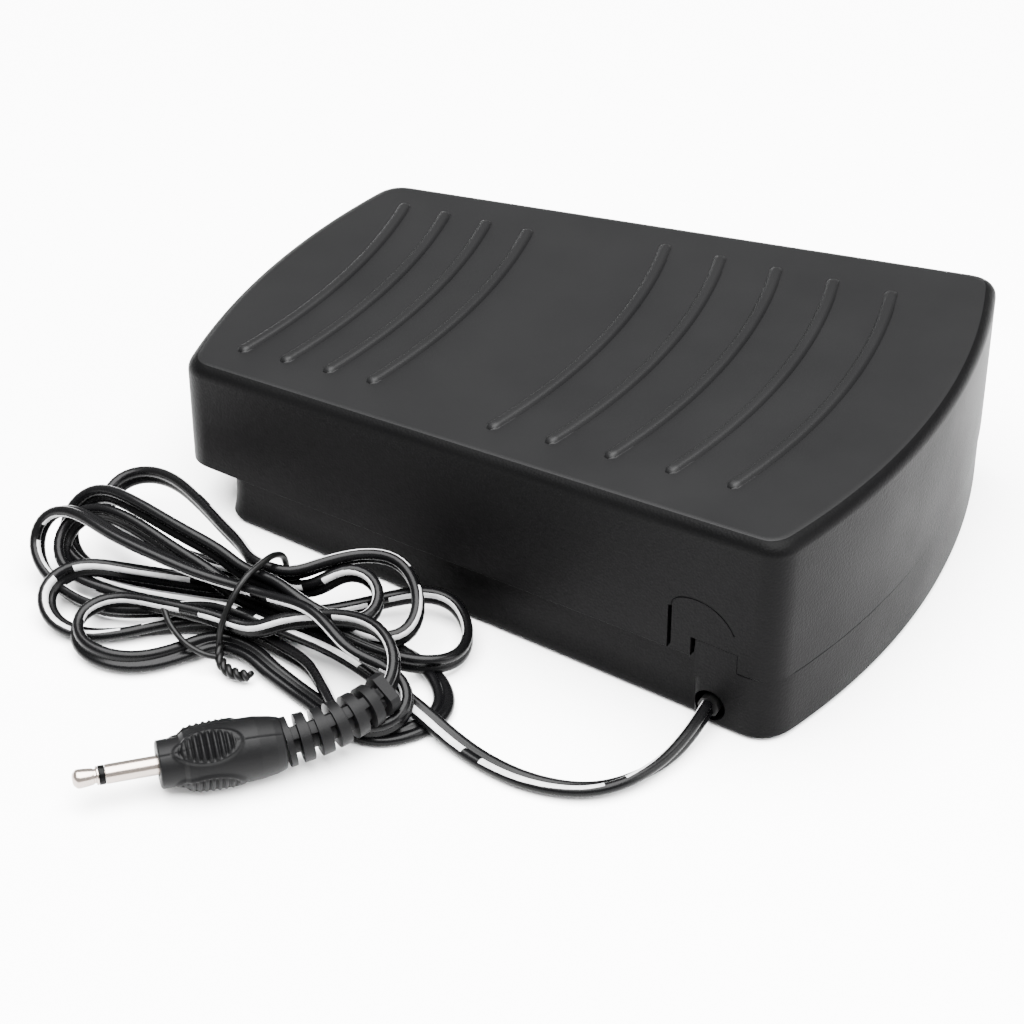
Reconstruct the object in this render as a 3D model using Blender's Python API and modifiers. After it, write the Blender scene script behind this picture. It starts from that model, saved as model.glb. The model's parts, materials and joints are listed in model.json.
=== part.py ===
"""Foot switch (sustain pedal): hinged treadle cover on a base tray, twin cord and mono plug.

Metres, +Z up. +X points to the hinge end, -Y is the side that the cord leaves.
The origin is the middle of the housing's footprint, on the surface it stands on.
"""
import math

import bmesh
import bpy
from mathutils import Vector

# ---- housing, seen from above ----
X_PRESS = -0.0667          # corner line of the pressed end
X_HINGE = 0.0633           # corner line of the hinge end
HALF_PRESS = 0.0392        # half width at the pressed end
HALF_HINGE = 0.0503        # half width at the hinge end
BULGE_PRESS = 0.0054       # how far each end bows out past its corner line
BULGE_HINGE = 0.0088
CORNER_R = 0.0045
SMALL_CORNER_R = 0.0015
FLUSH_CORNER_R = 0.0060    # hinge end of the tray
TOP_AT_PRESS = 0.0346      # height of the top at the two corner lines
TOP_AT_HINGE = 0.0446
SKIRT_AT_PRESS = 0.0115    # height of the cover's lower edge
SKIRT_AT_HINGE = 0.0146
TOP_EDGE_R = 0.0026
SKIRT_WALL = 0.0016
ROOF = 0.0022

# ---- base tray ----
BASE_Z = 0.0005            # the feet hold the tray this far up
X_BASE_PRESS = -0.0598
BASE_BULGE_PRESS = 0.0040
BASE_INSET = 0.0020        # tray wall behind the cover's skirt
BASE_FOOT_INSET = 0.0014   # same, where the wall flares out at the bottom
BASE_FLARE_Z = 0.0070
BASE_WALL = 0.0018
BASE_FLOOR_Z = 0.0022
BASE_RIM_Z = 0.0210
X_FLUSH = 0.0475           # from here to the hinge end the tray is flush with the cover
FLUSH_INSET = 0.0002
TAB_END = 0.0560
TAB_TOP = 0.0183
SKIN_BREAK = 0.0006        # small bevel at the tray's lower edge

# ---- cuts and tabs in the long walls ----
SLOT_X = (0.0418, 0.0426)  # relief slot in the skirt
SLOT_TOP = 0.0240
NOTCH_X = (X_FLUSH - 0.0010, TAB_END + 0.0008)
NOTCH_TOP = TAB_TOP + 0.0004
CUT_DEPTH = (-0.0020, 0.0040)
CUT_LOW = 0.0050
TAB_DEPTH = (FLUSH_INSET, 0.0030)
TAB_LOW = 0.0100

# ---- hinge ----
PIVOT_X = 0.0490
PIVOT_Z = 0.0220
PIN_R = 0.0017
BORE_SIDES = 16
EAR_THICK = 0.0030
EAR_HALF = 0.0045
EAR_LOW = 0.0110
EAR_SET = 0.0008           # from the tray's wall line in to the ear
LUG_THICK = 0.0040
LUG_HALF = 0.0040
LUG_SET = 0.0005           # from the ear in to the lug

# ---- catch that holds the cover down against its springs ----
TONGUE_LOW = (-0.0500, -0.0055, 0.0183)
TONGUE_HIGH = (-0.0484, 0.0055, 0.0345)
TOE_LOW = (-0.0562, -0.0050, 0.0181)
TOE_HIGH = (-0.0490, 0.0050, 0.0195)
LEDGE_LOW = (-0.0612, -0.0070, 0.0200)
LEDGE_HIGH = (-0.0518, 0.0070, 0.0222)

# ---- raised arcs on the cover ----
RIB_GROUPS = (             # first place, pitch, count, half length
    (-0.0546, 0.0096, 4, 0.0315), (0.0041, 0.01205, 5, 0.0365))
RIB_ARC_R = 0.1290         # seen from above
RIB_R = 0.0009
RIB_SINK = 0.00035

# ---- springs, stops and switch ----
SPRING_X = -0.0350
SPRING_Y = 0.0220
SPRING_R = 0.0036
SPRING_WIRE_R = 0.00045
SPRING_TURNS = 7
SPRING_TOP = 0.0345
CUP_R = SPRING_R + 0.0020
CUP_Z = (0.0270, 0.0360)
CUP_BORE_Z = (0.0251, 0.0349)
SPIGOT_R = 0.0027
SPIGOT_Z = (0.0015, 0.0105)
STOP_X = -0.0460
STOP_Y = 0.0270
STOP_TOP = 0.0250
POST_R = 0.0034
POST_LOW = 0.0014
BUMPER_R = 0.0036
BUMPER_HIGH = 0.0032
PLUNGER_R = 0.0024
PLUNGER_Z = (0.0159, 0.0388)
BLOCK_LOW = (-0.0030, -0.0070)
BLOCK_HIGH = (0.0210, 0.0070)
BLOCK_TOP = 0.0090
STEP_LOW = (0.0110, -0.0066, 0.0060)
STEP_HIGH = (0.0206, 0.0066, 0.0130)
STRIP_THICK = 0.0004
STRIP_HALF = 0.0035
FIXED_STRIP_X = (-0.0120, 0.0070)
LEAF_X = (-0.0125, 0.0200)
BUTTON_R = 0.0016
BUTTON_HIGH = 0.0008
CONTACT_X = -0.0090
LEAF_SCREW_X = 0.0160
STRIP_SCREW_X = 0.0040
SCREW_HOLE_R = 0.0015
SCREW_END = 0.0017
LEAF_PIVOT_X = 0.0145

# ---- rubber feet ----
FEET = ((-0.0440, 0.0260), (0.0310, 0.0370))   # x and distance from the middle line
FOOT_R = 0.0050
POCKET_R = 0.0053
POCKET_TOP = 0.0014

# ---- cord and plug ----
CORD_R = 0.0021
HOLE_X = 0.0510
HOLE_Z = 0.0046
HOLE_R = 0.0032
CLAMP_Y = -0.0360
CLAMP_HALF = (0.0090, 0.0028)
CLAMP_TOP = 0.0092
CLAMP_SCREW_X = (HOLE_X - 0.0062, HOLE_X + 0.0062)
CLAMP_SCREW_R = 0.0010
CLAMP_BORE_R = 0.0013
TAIL_ENDS = (-0.0496, -0.0300)
LEAD_R = 0.0007
LEAD_TO_STRIP = (
    (0.0500, -0.0296, 0.0048), (0.0470, -0.0240, 0.0046), (0.0340, -0.0170, 0.0042),
    (0.0180, -0.0140, 0.0042), (0.0070, -0.0126, 0.0066), (0.0050, -0.0088, 0.0108),
    (0.0042, -0.0040, 0.0112))
LEAD_TO_LEAF = (
    (0.0520, -0.0296, 0.0048), (0.0510, -0.0230, 0.0046), (0.0420, -0.0130, 0.0046),
    (0.0310, -0.0090, 0.0080), (0.0220, -0.0085, 0.0130), (0.0180, -0.0062, 0.0150),
    (0.0165, -0.0038, 0.0150))
CORD_ROUTE = (
    (0.0510, -0.0499, 0.0046), (0.0510, -0.0545, 0.0039), (0.0504, -0.0594, 0.0027),
    (0.0484, -0.0662, 0.0022), (0.0454, -0.0720, 0.0022), (0.0409, -0.0764, 0.0022),
    (0.0347, -0.0787, 0.0022), (0.0277, -0.0793, 0.0022), (0.0192, -0.0777, 0.0022),
    (0.0110, -0.0752, 0.0022), (0.0055, -0.0731, 0.0022))
HANK_ENDS = ((-0.0610, -0.0655, 0.0200), (-0.0070, -0.0610, 0.0155))   # x, y, radius
HANK_Z = (0.0015, 0.0190)
TIE_X = -0.0345
TIE_R = 0.00055
TIE_TURN_R = 0.0009
PLUG_TIP = Vector((-0.0363, -0.1215, 0.0060))
PLUG_AIM = Vector((0.0108, 0.0104, 0.0))
RELIEF_START = 0.0380      # along the plug from its tip
RELIEF_R = 0.0042
TIP_PROFILE = (
    (0.0, 0.0180), (0.0008, 0.0180), (0.0008, 0.0049), (0.00175, 0.0049), (0.00175, 0.0045),
    (0.0013, 0.0036), (0.0013, 0.0031), (0.0017, 0.0022), (0.0015, 0.0009), (0.0008, 0.0),
    (0.0, 0.0))
RING_PROFILE = (
    (0.0011, 0.0060), (0.00172, 0.0060), (0.00172, 0.0052), (0.0011, 0.0052), (0.0011, 0.0060))
SLEEVE_PROFILE = (
    (0.0015, 0.0250), (0.00175, 0.0250), (0.00175, 0.0063), (0.0015, 0.0063), (0.0015, 0.0250))
BODY_PROFILE = (
    (0.0, 0.0372), (0.0044, 0.0372), (0.0049, 0.0365), (0.0060, 0.0300), (0.0060, 0.0235),
    (0.0054, 0.0190), (0.0043, 0.0168), (0.0043, 0.0150), (0.0021, 0.0150), (0.0021, 0.0253),
    (0.0, 0.0253))
RELIEF_ROUTE = (
    (0.0, 0.0, 0.0), (0.0068, 0.0006, 0.0008), (0.0134, 0.0024, 0.0017), (0.0192, 0.0055, 0.0025))

GAP = 0.0003               # kept between pieces that touch

parts = None
cutters = None


# ---------------------------------------------------------------- helpers
def start():
    """Empties the scene and makes the two collections."""
    global parts, cutters
    for old in list(bpy.data.objects):
        bpy.data.objects.remove(old, do_unlink=True)
    parts = bpy.data.collections.new("sustain_pedal")
    cutters = bpy.data.collections.new("cutters")
    bpy.context.scene.collection.children.link(parts)
    bpy.context.scene.collection.children.link(cutters)


def material(name, colour, roughness, metallic=0.0):
    """A Principled material of one colour."""
    mat = bpy.data.materials.new(name)
    mat.use_nodes = True
    shader = mat.node_tree.nodes["Principled BSDF"]
    shader.inputs["Base Color"].default_value = (*colour, 1.0)
    shader.inputs["Roughness"].default_value = roughness
    shader.inputs["Metallic"].default_value = metallic
    return mat


def place(obj, mat, parent=None):
    """Puts a finished piece in the parts collection with its own copy of the material."""
    own = mat.copy()
    own.name = obj.name
    obj.data.materials.clear()
    obj.data.materials.append(own)
    for holder in list(obj.users_collection):
        holder.objects.unlink(obj)
    parts.objects.link(obj)
    if parent is not None:
        bpy.context.view_layer.update()
        obj.parent = parent
        obj.matrix_parent_inverse = parent.matrix_world.inverted()
    return obj


def as_cutter(obj):
    """Hides a shape that only cuts or joins another."""
    for holder in list(obj.users_collection):
        holder.objects.unlink(obj)
    cutters.objects.link(obj)
    obj.hide_render = True
    obj.display_type = "WIRE"
    return obj


def boolean(target, tool, operation="DIFFERENCE"):
    mod = target.modifiers.new(operation.lower(), "BOOLEAN")
    mod.operation = operation
    mod.solver = "EXACT"
    mod.object = as_cutter(tool)


def new_object(name, mesh_builder):
    """An object whose mesh is filled by mesh_builder(bmesh)."""
    mesh = bpy.data.meshes.new(name)
    work = bmesh.new()
    mesh_builder(work)
    bmesh.ops.recalc_face_normals(work, faces=work.faces)
    work.to_mesh(mesh)
    work.free()
    obj = bpy.data.objects.new(name, mesh)
    bpy.context.scene.collection.objects.link(obj)
    return obj


def box(name, low, high, bevel=0.0):
    """A box between two corners, its edges broken by bevel."""
    size = [high[i] - low[i] for i in range(3)]

    def build(work):
        bmesh.ops.create_cube(work, size=1.0)
        bmesh.ops.scale(work, vec=size, verts=work.verts)

    obj = new_object(name, build)
    obj.location = [(low[i] + high[i]) / 2 for i in range(3)]
    if bevel:
        mod = obj.modifiers.new("edge", "BEVEL")
        mod.width = bevel
        mod.segments = 2
    return obj


def cylinder(name, centre, radius, height, axis="Z", sides=20):
    """A cylinder about centre, along Z or Y."""
    def build(work):
        bmesh.ops.create_cone(work, cap_ends=True, segments=sides, radius1=radius,
                              radius2=radius, depth=height)

    obj = new_object(name, build)
    obj.location = centre
    if axis == "Y":
        obj.rotation_euler = (math.pi / 2, 0.0, 0.0)
    return obj


def post(name, x, y, span, radius, sides=20):
    """An upright cylinder that fills span, a (low, high) pair of heights."""
    return cylinder(name, (x, y, (span[0] + span[1]) / 2), radius, span[1] - span[0],
                    sides=sides)


def turned(name, profile, sides=20):
    """A turned piece about its own Z, from (radius, height) pairs, top to bottom."""
    mesh = bpy.data.meshes.new(name)
    work = bmesh.new()
    verts = [work.verts.new((radius, 0.0, height)) for radius, height in profile]
    for first, second in zip(verts, verts[1:]):
        work.edges.new((first, second))
    work.to_mesh(mesh)
    work.free()
    obj = bpy.data.objects.new(name, mesh)
    bpy.context.scene.collection.objects.link(obj)
    mod = obj.modifiers.new("turn", "SCREW")
    mod.steps = sides
    mod.render_steps = sides
    mod.use_merge_vertices = True
    mod.merge_threshold = 0.00001
    return obj


def smooth_route(points, count):
    """count evenly spaced points on a smooth curve through the given ones."""
    points = [Vector(p) for p in points]
    ends = [2 * points[0] - points[1]] + points + [2 * points[-1] - points[-2]]
    fine = []
    steps = 24
    for i in range(1, len(ends) - 2):
        a, b, c, d = ends[i - 1:i + 3]
        for k in range(steps):
            t = k / steps
            fine.append(0.5 * (2 * b + (c - a) * t + (2 * a - 5 * b + 4 * c - d) * t * t
                               + (3 * b - a - 3 * c + d) * t ** 3))
    fine.append(points[-1])
    run = [0.0]
    for first, second in zip(fine, fine[1:]):
        run.append(run[-1] + (second - first).length)
    result = []
    at = 0
    for k in range(count):
        want = run[-1] * k / (count - 1)
        while at < len(run) - 2 and run[at + 1] < want:
            at += 1
        onward = (want - run[at]) / (run[at + 1] - run[at])
        result.append(fine[at].lerp(fine[at + 1], onward))
    return result


def tube(name, points, radius, closed=False):
    """A round tube along the points, with its ends filled."""
    curve = bpy.data.curves.new(name, "CURVE")
    curve.dimensions = "3D"
    curve.bevel_depth = radius
    curve.bevel_resolution = 2
    curve.use_fill_caps = not closed
    spline = curve.splines.new("POLY")
    spline.points.add(len(points) - 1)
    for slot, point in zip(spline.points, points):
        slot.co = (*point, 1.0)
    spline.use_cyclic_u = closed
    obj = bpy.data.objects.new(name, curve)
    bpy.context.scene.collection.objects.link(obj)
    return obj


def tube_mesh(name, points, radius):
    """The same tube as a closed mesh, for Boolean work."""
    guide = tube(name + "_guide", points, radius)
    bpy.context.view_layer.update()
    evaluated = guide.evaluated_get(bpy.context.evaluated_depsgraph_get())
    mesh = bpy.data.meshes.new_from_object(evaluated)
    work = bmesh.new()
    work.from_mesh(mesh)
    bmesh.ops.remove_doubles(work, verts=work.verts, dist=0.000001)
    bmesh.ops.recalc_face_normals(work, faces=work.faces)
    work.to_mesh(mesh)
    work.free()
    obj = bpy.data.objects.new(name, mesh)
    obj.matrix_world = guide.matrix_world
    bpy.context.scene.collection.objects.link(obj)
    bpy.data.objects.remove(guide, do_unlink=True)
    return obj


# ---------------------------------------------------------------- housing outline
def share(x):
    """0 at the pressed corner line, 1 at the hinge corner line."""
    return (x - X_PRESS) / (X_HINGE - X_PRESS)


def half_width(x):
    return HALF_PRESS + (HALF_HINGE - HALF_PRESS) * share(x)


def top_z(x):
    return TOP_AT_PRESS + (TOP_AT_HINGE - TOP_AT_PRESS) * share(x)


def skirt_z(x):
    return SKIRT_AT_PRESS + (SKIRT_AT_HINGE - SKIRT_AT_PRESS) * share(x)


def end_arc(x, half, bulge, steps):
    """Points along an end from y = -half to +half, bowing out by bulge."""
    if abs(bulge) < 1e-6:
        return [Vector((x, -half)), Vector((x, half))]
    radius = (half * half + bulge * bulge) / (2 * abs(bulge))
    reach = math.asin(half / radius)
    side = 1.0 if bulge > 0 else -1.0
    points = []
    for k in range(steps + 1):
        angle = -reach + 2 * reach * k / steps
        out = radius * math.cos(angle) - (radius - abs(bulge))
        points.append(Vector((x + side * out, radius * math.sin(angle))))
    return points


def rounded(points, radii, steps=3):
    """Replaces corners by short curves; radii maps a corner's place to its radius."""
    result = []
    for i, point in enumerate(points):
        if i not in radii:
            result.append(point)
            continue
        before = (points[i - 1] - point).normalized() * radii[i]
        after = (points[(i + 1) % len(points)] - point).normalized() * radii[i]
        for k in range(steps + 1):
            t = k / steps
            result.append(point + before * (1 - t) ** 2 + after * t ** 2)
    return result


def outline(inset, x_press=X_PRESS, bulge_press=BULGE_PRESS, press_r=CORNER_R,
            hinge_r=CORNER_R, steps=10):
    """The housing seen from above, counter-clockwise, moved in by inset."""
    left = x_press + inset
    right = X_HINGE - inset
    hinge_end = end_arc(right, half_width(right) - inset, BULGE_HINGE, steps)
    press_end = end_arc(left, half_width(left) - inset, -bulge_press, steps)
    press_end.reverse()
    points = hinge_end + press_end
    hinge_r = max(hinge_r - inset, SMALL_CORNER_R)
    press_r = max(press_r - inset, SMALL_CORNER_R)
    return rounded(points, {0: hinge_r, len(hinge_end) - 1: hinge_r,
                            len(hinge_end): press_r, len(points) - 1: press_r})


def loft(name, levels):
    """A solid through outlines of equal length; a level is (outline, height of x)."""
    def build(work):
        first, height = levels[0]
        ring = [work.verts.new((p.x, p.y, height(p.x))) for p in first]
        face = work.faces.new(ring)
        for number, (points, height) in enumerate(levels[1:]):
            grown = bmesh.ops.extrude_face_region(work, geom=[face])
            if number:
                bmesh.ops.delete(work, geom=[face], context="FACES_ONLY")
            face = next(f for f in grown["geom"] if isinstance(f, bmesh.types.BMFace))
            old = {tuple(v.co): i for i, v in enumerate(ring)}
            moved = [None] * len(ring)
            for vert in face.verts:
                moved[old[tuple(vert.co)]] = vert
            for vert, p in zip(moved, points):
                vert.co = (p.x, p.y, height(p.x))
            ring = moved
        bmesh.ops.remove_doubles(work, verts=work.verts, dist=1e-7)
    return new_object(name, build)


def level(z):
    return lambda x: z


# ---------------------------------------------------------------- cover
def cover_shell():
    """The outer skin: rounded top edge, open below."""
    drop = TOP_EDGE_R * (1 - math.cos(math.pi / 4))
    levels = [
        (outline(0.0), skirt_z),
        (outline(0.0), lambda x: top_z(x) - TOP_EDGE_R),
        (outline(drop), lambda x: top_z(x) - drop),
        (outline(TOP_EDGE_R), top_z)]
    shell = loft("treadle_cover", levels)
    hollow = loft("cover_hollow", [
        (outline(SKIRT_WALL), lambda x: skirt_z(x) - 0.01),
        (outline(SKIRT_WALL), lambda x: top_z(x) - ROOF)])
    boolean(shell, hollow)
    return shell


def rib_path(x, half):
    """A rib's centre line: an arc that bows towards the hinge, sunk into the top."""
    bulge = RIB_ARC_R - math.sqrt(RIB_ARC_R ** 2 - half ** 2)
    flat = end_arc(x - bulge, half, bulge, 8)
    return [(p.x, p.y, top_z(p.x) - RIB_SINK) for p in flat]


def wall_box(name, span, depth, heights, side):
    """A box that follows the long wall; depth is measured in from the outer skin."""
    middle = (span[0] + span[1]) / 2
    reach = (span[1] - span[0]) / 2
    block = box(name, (-reach, depth[0], heights[0]), (reach, depth[1], heights[1]))
    slope = math.atan2(HALF_HINGE - HALF_PRESS, X_HINGE - X_PRESS)
    holder = bpy.data.objects.new(name + "_wall", None)
    bpy.context.scene.collection.objects.link(holder)
    block.parent = holder
    holder.location = (middle, -side * half_width(middle), 0.0)
    holder.rotation_euler = (0.0, 0.0, -side * slope)
    if side < 0:
        block.location.y = -block.location.y
    bpy.context.view_layer.update()
    return block


def cover():
    """The cover with its ribs, hinge lugs, spring cups, plunger and catch."""
    shell = cover_shell()
    for side, where in ((1, "front"), (-1, "rear")):
        boolean(shell, wall_box("slot_" + where, SLOT_X, CUT_DEPTH, (CUT_LOW, SLOT_TOP), side))
        boolean(shell, wall_box("notch_" + where, NOTCH_X, CUT_DEPTH, (CUT_LOW, NOTCH_TOP),
                                side))
        lug_low, lug_high = lug_y(side)
        lug = box("lug_" + where, (PIVOT_X - LUG_HALF, lug_low, PIVOT_Z - EAR_HALF),
                  (PIVOT_X + LUG_HALF, lug_high, top_z(PIVOT_X) - ROOF / 2))
        boolean(shell, lug, "UNION")
        bore = cylinder("bore_" + where, (PIVOT_X, (lug_low + lug_high) / 2, PIVOT_Z),
                        PIN_R + GAP, LUG_THICK * 3, "Y", BORE_SIDES)
        boolean(shell, bore)
        boolean(shell, post("cup_" + where, SPRING_X, -side * SPRING_Y, CUP_Z, CUP_R), "UNION")
        boolean(shell, post("cup_bore_" + where, SPRING_X, -side * SPRING_Y, CUP_BORE_Z,
                            SPRING_R + SPRING_WIRE_R + GAP))
    boolean(shell, post("plunger", CONTACT_X, 0.0, PLUNGER_Z, PLUNGER_R), "UNION")
    boolean(shell, box("tongue", TONGUE_LOW, TONGUE_HIGH), "UNION")
    boolean(shell, box("toe", TOE_LOW, TOE_HIGH), "UNION")
    number = 0
    for first, pitch, count, half in RIB_GROUPS:
        for k in range(count):
            rib = tube_mesh("rib_%d" % number, rib_path(first + k * pitch, half), RIB_R)
            boolean(shell, rib, "UNION")
            number += 1
    return shell


# ---------------------------------------------------------------- base
def ear_y(side):
    """The ear's span across, behind the skirt."""
    outer = half_width(PIVOT_X) - BASE_INSET - EAR_SET
    return tuple(sorted((-side * outer, -side * (outer - EAR_THICK))))


def lug_y(side):
    """The cover's lug, inboard of the ear."""
    outer = half_width(PIVOT_X) - BASE_INSET - EAR_SET - EAR_THICK - LUG_SET
    return tuple(sorted((-side * outer, -side * (outer - LUG_THICK))))


def base_tray():
    """The tray: flared foot, wall inside the skirt, flush hinge end, ears and posts."""
    def shape(inset):
        return outline(inset, X_BASE_PRESS, BASE_BULGE_PRESS)

    tray = loft("base_tray", [
        (shape(BASE_FOOT_INSET + SKIN_BREAK), level(BASE_Z)),
        (shape(BASE_FOOT_INSET), level(BASE_Z + SKIN_BREAK)),
        (shape(BASE_INSET), level(BASE_FLARE_Z)),
        (shape(BASE_INSET), level(BASE_RIM_Z))])

    def collar_shape(inset):
        return outline(inset, X_FLUSH - inset, 0.0, SMALL_CORNER_R, FLUSH_CORNER_R)

    collar = loft("collar", [
        (collar_shape(FLUSH_INSET + SKIN_BREAK), level(BASE_Z)),
        (collar_shape(FLUSH_INSET), level(BASE_Z + SKIN_BREAK)),
        (collar_shape(FLUSH_INSET), lambda x: skirt_z(x) - 0.0004)])
    boolean(tray, collar, "UNION")
    hollow = loft("tray_hollow", [
        (shape(BASE_INSET + BASE_WALL), level(BASE_FLOOR_Z)),
        (shape(BASE_INSET + BASE_WALL), level(BASE_RIM_Z + 0.02))])
    boolean(tray, hollow)
    for side, where in ((1, "front"), (-1, "rear")):
        boolean(tray, wall_box("tab_" + where, (X_FLUSH, TAB_END), TAB_DEPTH,
                               (TAB_LOW, TAB_TOP), side), "UNION")
        ear_low, ear_high = ear_y(side)
        ear = box("ear_" + where, (PIVOT_X - EAR_HALF, ear_low, EAR_LOW),
                  (PIVOT_X + EAR_HALF, ear_high, PIVOT_Z + EAR_HALF), 0.0008)
        boolean(tray, ear, "UNION")
        bore = cylinder("ear_bore_" + where, (PIVOT_X, (ear_low + ear_high) / 2, PIVOT_Z),
                        PIN_R + GAP, EAR_THICK * 3, "Y", BORE_SIDES)
        boolean(tray, bore)
        boolean(tray, post("spigot_" + where, SPRING_X, -side * SPRING_Y, SPIGOT_Z, SPIGOT_R),
                "UNION")
        boolean(tray, post("post_" + where, STOP_X, -side * STOP_Y, (POST_LOW, STOP_TOP),
                           POST_R), "UNION")
    boolean(tray, box("ledge", LEDGE_LOW, LEDGE_HIGH), "UNION")
    boolean(tray, cylinder("cord_hole", (HOLE_X, -half_width(HOLE_X), HOLE_Z), HOLE_R, 0.0120,
                           "Y", 24))
    for x, y in feet_places():
        boolean(tray, post("foot_pocket", x, y, (-POCKET_TOP, POCKET_TOP), POCKET_R, 24))
    through = (BASE_Z * 2, BASE_FLOOR_Z * 2)
    for x in (STRIP_SCREW_X, LEAF_SCREW_X):
        boolean(tray, post("screw_hole", x, 0.0, through, SCREW_HOLE_R))
    for x in CLAMP_SCREW_X:
        boolean(tray, post("clamp_hole", x, CLAMP_Y, through, CLAMP_BORE_R))
    return tray


def feet_places():
    return [(x, side * y) for x, y in FEET for side in (-1, 1)]


# ---------------------------------------------------------------- small pieces
def hinge_pin(name, side):
    """A short steel pin through the ear and the lug."""
    low, high = sorted((ear_y(side)[0], ear_y(side)[1], lug_y(side)[0], lug_y(side)[1]))[::3]
    length = high - low - 0.0012
    return cylinder(name, (PIVOT_X, (low + high) / 2, PIVOT_Z), PIN_R, length, "Y", 16)


def spring(name, side):
    """A compression spring from the floor to the roof of its cup."""
    low = BASE_FLOOR_Z + SPRING_WIRE_R + GAP
    high = SPRING_TOP - SPRING_WIRE_R - GAP
    per_turn = 10
    total = SPRING_TURNS * per_turn
    points = []
    for k in range(total + 1):
        angle = 2 * math.pi * k / per_turn
        points.append((SPRING_R * math.cos(angle), SPRING_R * math.sin(angle),
                       low + (high - low) * k / total))
    coil = tube(name, points, SPRING_WIRE_R)
    coil.location = (SPRING_X, -side * SPRING_Y, 0.0)
    return coil


def screw(name, x, y, seat, end, head_r=0.0024, shank_r=0.0012):
    """A pan-head screw: head above seat, shank down to end."""
    profile = [(0.0, seat + 0.0015), (head_r * 0.7, seat + 0.0014), (head_r, seat + 0.0007),
               (head_r, seat), (shank_r, seat), (shank_r, end + 0.0008), (0.0, end)]
    piece = turned(name, profile, 16)
    piece.location = (x, y, 0.0)
    return piece


def switch_block():
    """The moulded block that carries both contacts."""
    block = box("switch_block", (*BLOCK_LOW, BASE_FLOOR_Z + GAP), (*BLOCK_HIGH, BLOCK_TOP))
    boolean(block, box("block_step", STEP_LOW, STEP_HIGH), "UNION")
    for x in (STRIP_SCREW_X, LEAF_SCREW_X):
        boolean(block, post("block_hole", x, 0.0, (0.0, STEP_HIGH[2] * 2), SCREW_HOLE_R))
    return block


def contact_strip(name, span, low, hole_x):
    """A flat strip with a screw hole."""
    high = low + STRIP_THICK
    strip = box(name, (span[0], -STRIP_HALF, low), (span[1], STRIP_HALF, high))
    boolean(strip, post(name + "_hole", hole_x, 0.0, (low - GAP, high + GAP), SCREW_HOLE_R))
    return strip


def rivet(name, low):
    """A contact button that sits on, or hangs under, its strip."""
    return post(name, CONTACT_X, 0.0, (low, low + BUTTON_HIGH), BUTTON_R)


def cord_clamp():
    """A bridge over the cord, held by two screws."""
    half_x, half_y = CLAMP_HALF
    clamp = box("cord_clamp", (HOLE_X - half_x, CLAMP_Y - half_y, BASE_FLOOR_Z + GAP),
                (HOLE_X + half_x, CLAMP_Y + half_y, CLAMP_TOP), 0.0006)
    groove = cylinder("clamp_groove", (HOLE_X, CLAMP_Y, HOLE_Z), CORD_R + GAP, half_y * 4, "Y")
    boolean(clamp, groove)
    relief = box("clamp_relief", (HOLE_X - CORD_R - GAP, CLAMP_Y - half_y * 2, 0.0),
                 (HOLE_X + CORD_R + GAP, CLAMP_Y + half_y * 2, HOLE_Z))
    boolean(clamp, relief)
    for x in CLAMP_SCREW_X:
        boolean(clamp, post("clamp_bore", x, CLAMP_Y, (0.0, CLAMP_TOP * 2), CLAMP_BORE_R))
    return clamp


def lead_wire(name, points):
    """One insulated conductor from the cord's end to a screw."""
    return tube(name, smooth_route(points, 16), LEAD_R)


def foot(name, x, y):
    """A round rubber foot in its pocket."""
    disc = turned(name, [(0.0, 0.0011), (FOOT_R, 0.0011), (FOOT_R, 0.0003),
                         (FOOT_R - 0.0003, 0.0), (0.0, 0.0)], 24)
    disc.location = (x, y, 0.0)
    return disc


# ---------------------------------------------------------------- cord and plug
def hank():
    """The bundled cord: an outline with two unlike round ends, raised to its thickness."""
    (x1, y1, r1), (x2, y2, r2) = HANK_ENDS
    run = Vector((x2 - x1, y2 - y1))
    lean = math.asin((r1 - r2) / run.length)
    heading = math.atan2(run.y, run.x)
    steps = 12
    points = []
    for x, y, radius, first, last in (
            (x2, y2, r2, heading - math.pi / 2 + lean, heading + math.pi / 2 - lean),
            (x1, y1, r1, heading + math.pi / 2 - lean, heading + 3 * math.pi / 2 + lean)):
        for k in range(steps + 1):
            angle = first + (last - first) * k / steps
            points.append((x + radius * math.cos(angle), y + radius * math.sin(angle)))
    curve = bpy.data.curves.new("cord_hank", "CURVE")
    curve.dimensions = "2D"
    curve.fill_mode = "BOTH"
    curve.extrude = (HANK_Z[1] - HANK_Z[0]) / 2
    spline = curve.splines.new("POLY")
    spline.points.add(len(points) - 1)
    for slot, point in zip(spline.points, points):
        slot.co = (*point, 0.0, 1.0)
    spline.use_cyclic_u = True
    solid = bpy.data.objects.new("cord_hank", curve)
    bpy.context.scene.collection.objects.link(solid)
    solid.location.z = (HANK_Z[0] + HANK_Z[1]) / 2
    return solid


def hank_side(x, sign):
    """The hank's edge at x, on its +Y or -Y side."""
    (x1, y1, r1), (x2, y2, r2) = HANK_ENDS
    run = Vector((x2 - x1, y2 - y1))
    lean = math.asin((r1 - r2) / run.length)
    angle = math.atan2(run.y, run.x) + sign * (math.pi / 2 - lean)
    start_at = (x1 + r1 * math.cos(angle), y1 + r1 * math.sin(angle))
    end_at = (x2 + r2 * math.cos(angle), y2 + r2 * math.sin(angle))
    t = (x - start_at[0]) / (end_at[0] - start_at[0])
    return start_at[1] + (end_at[1] - start_at[1]) * t


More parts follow.
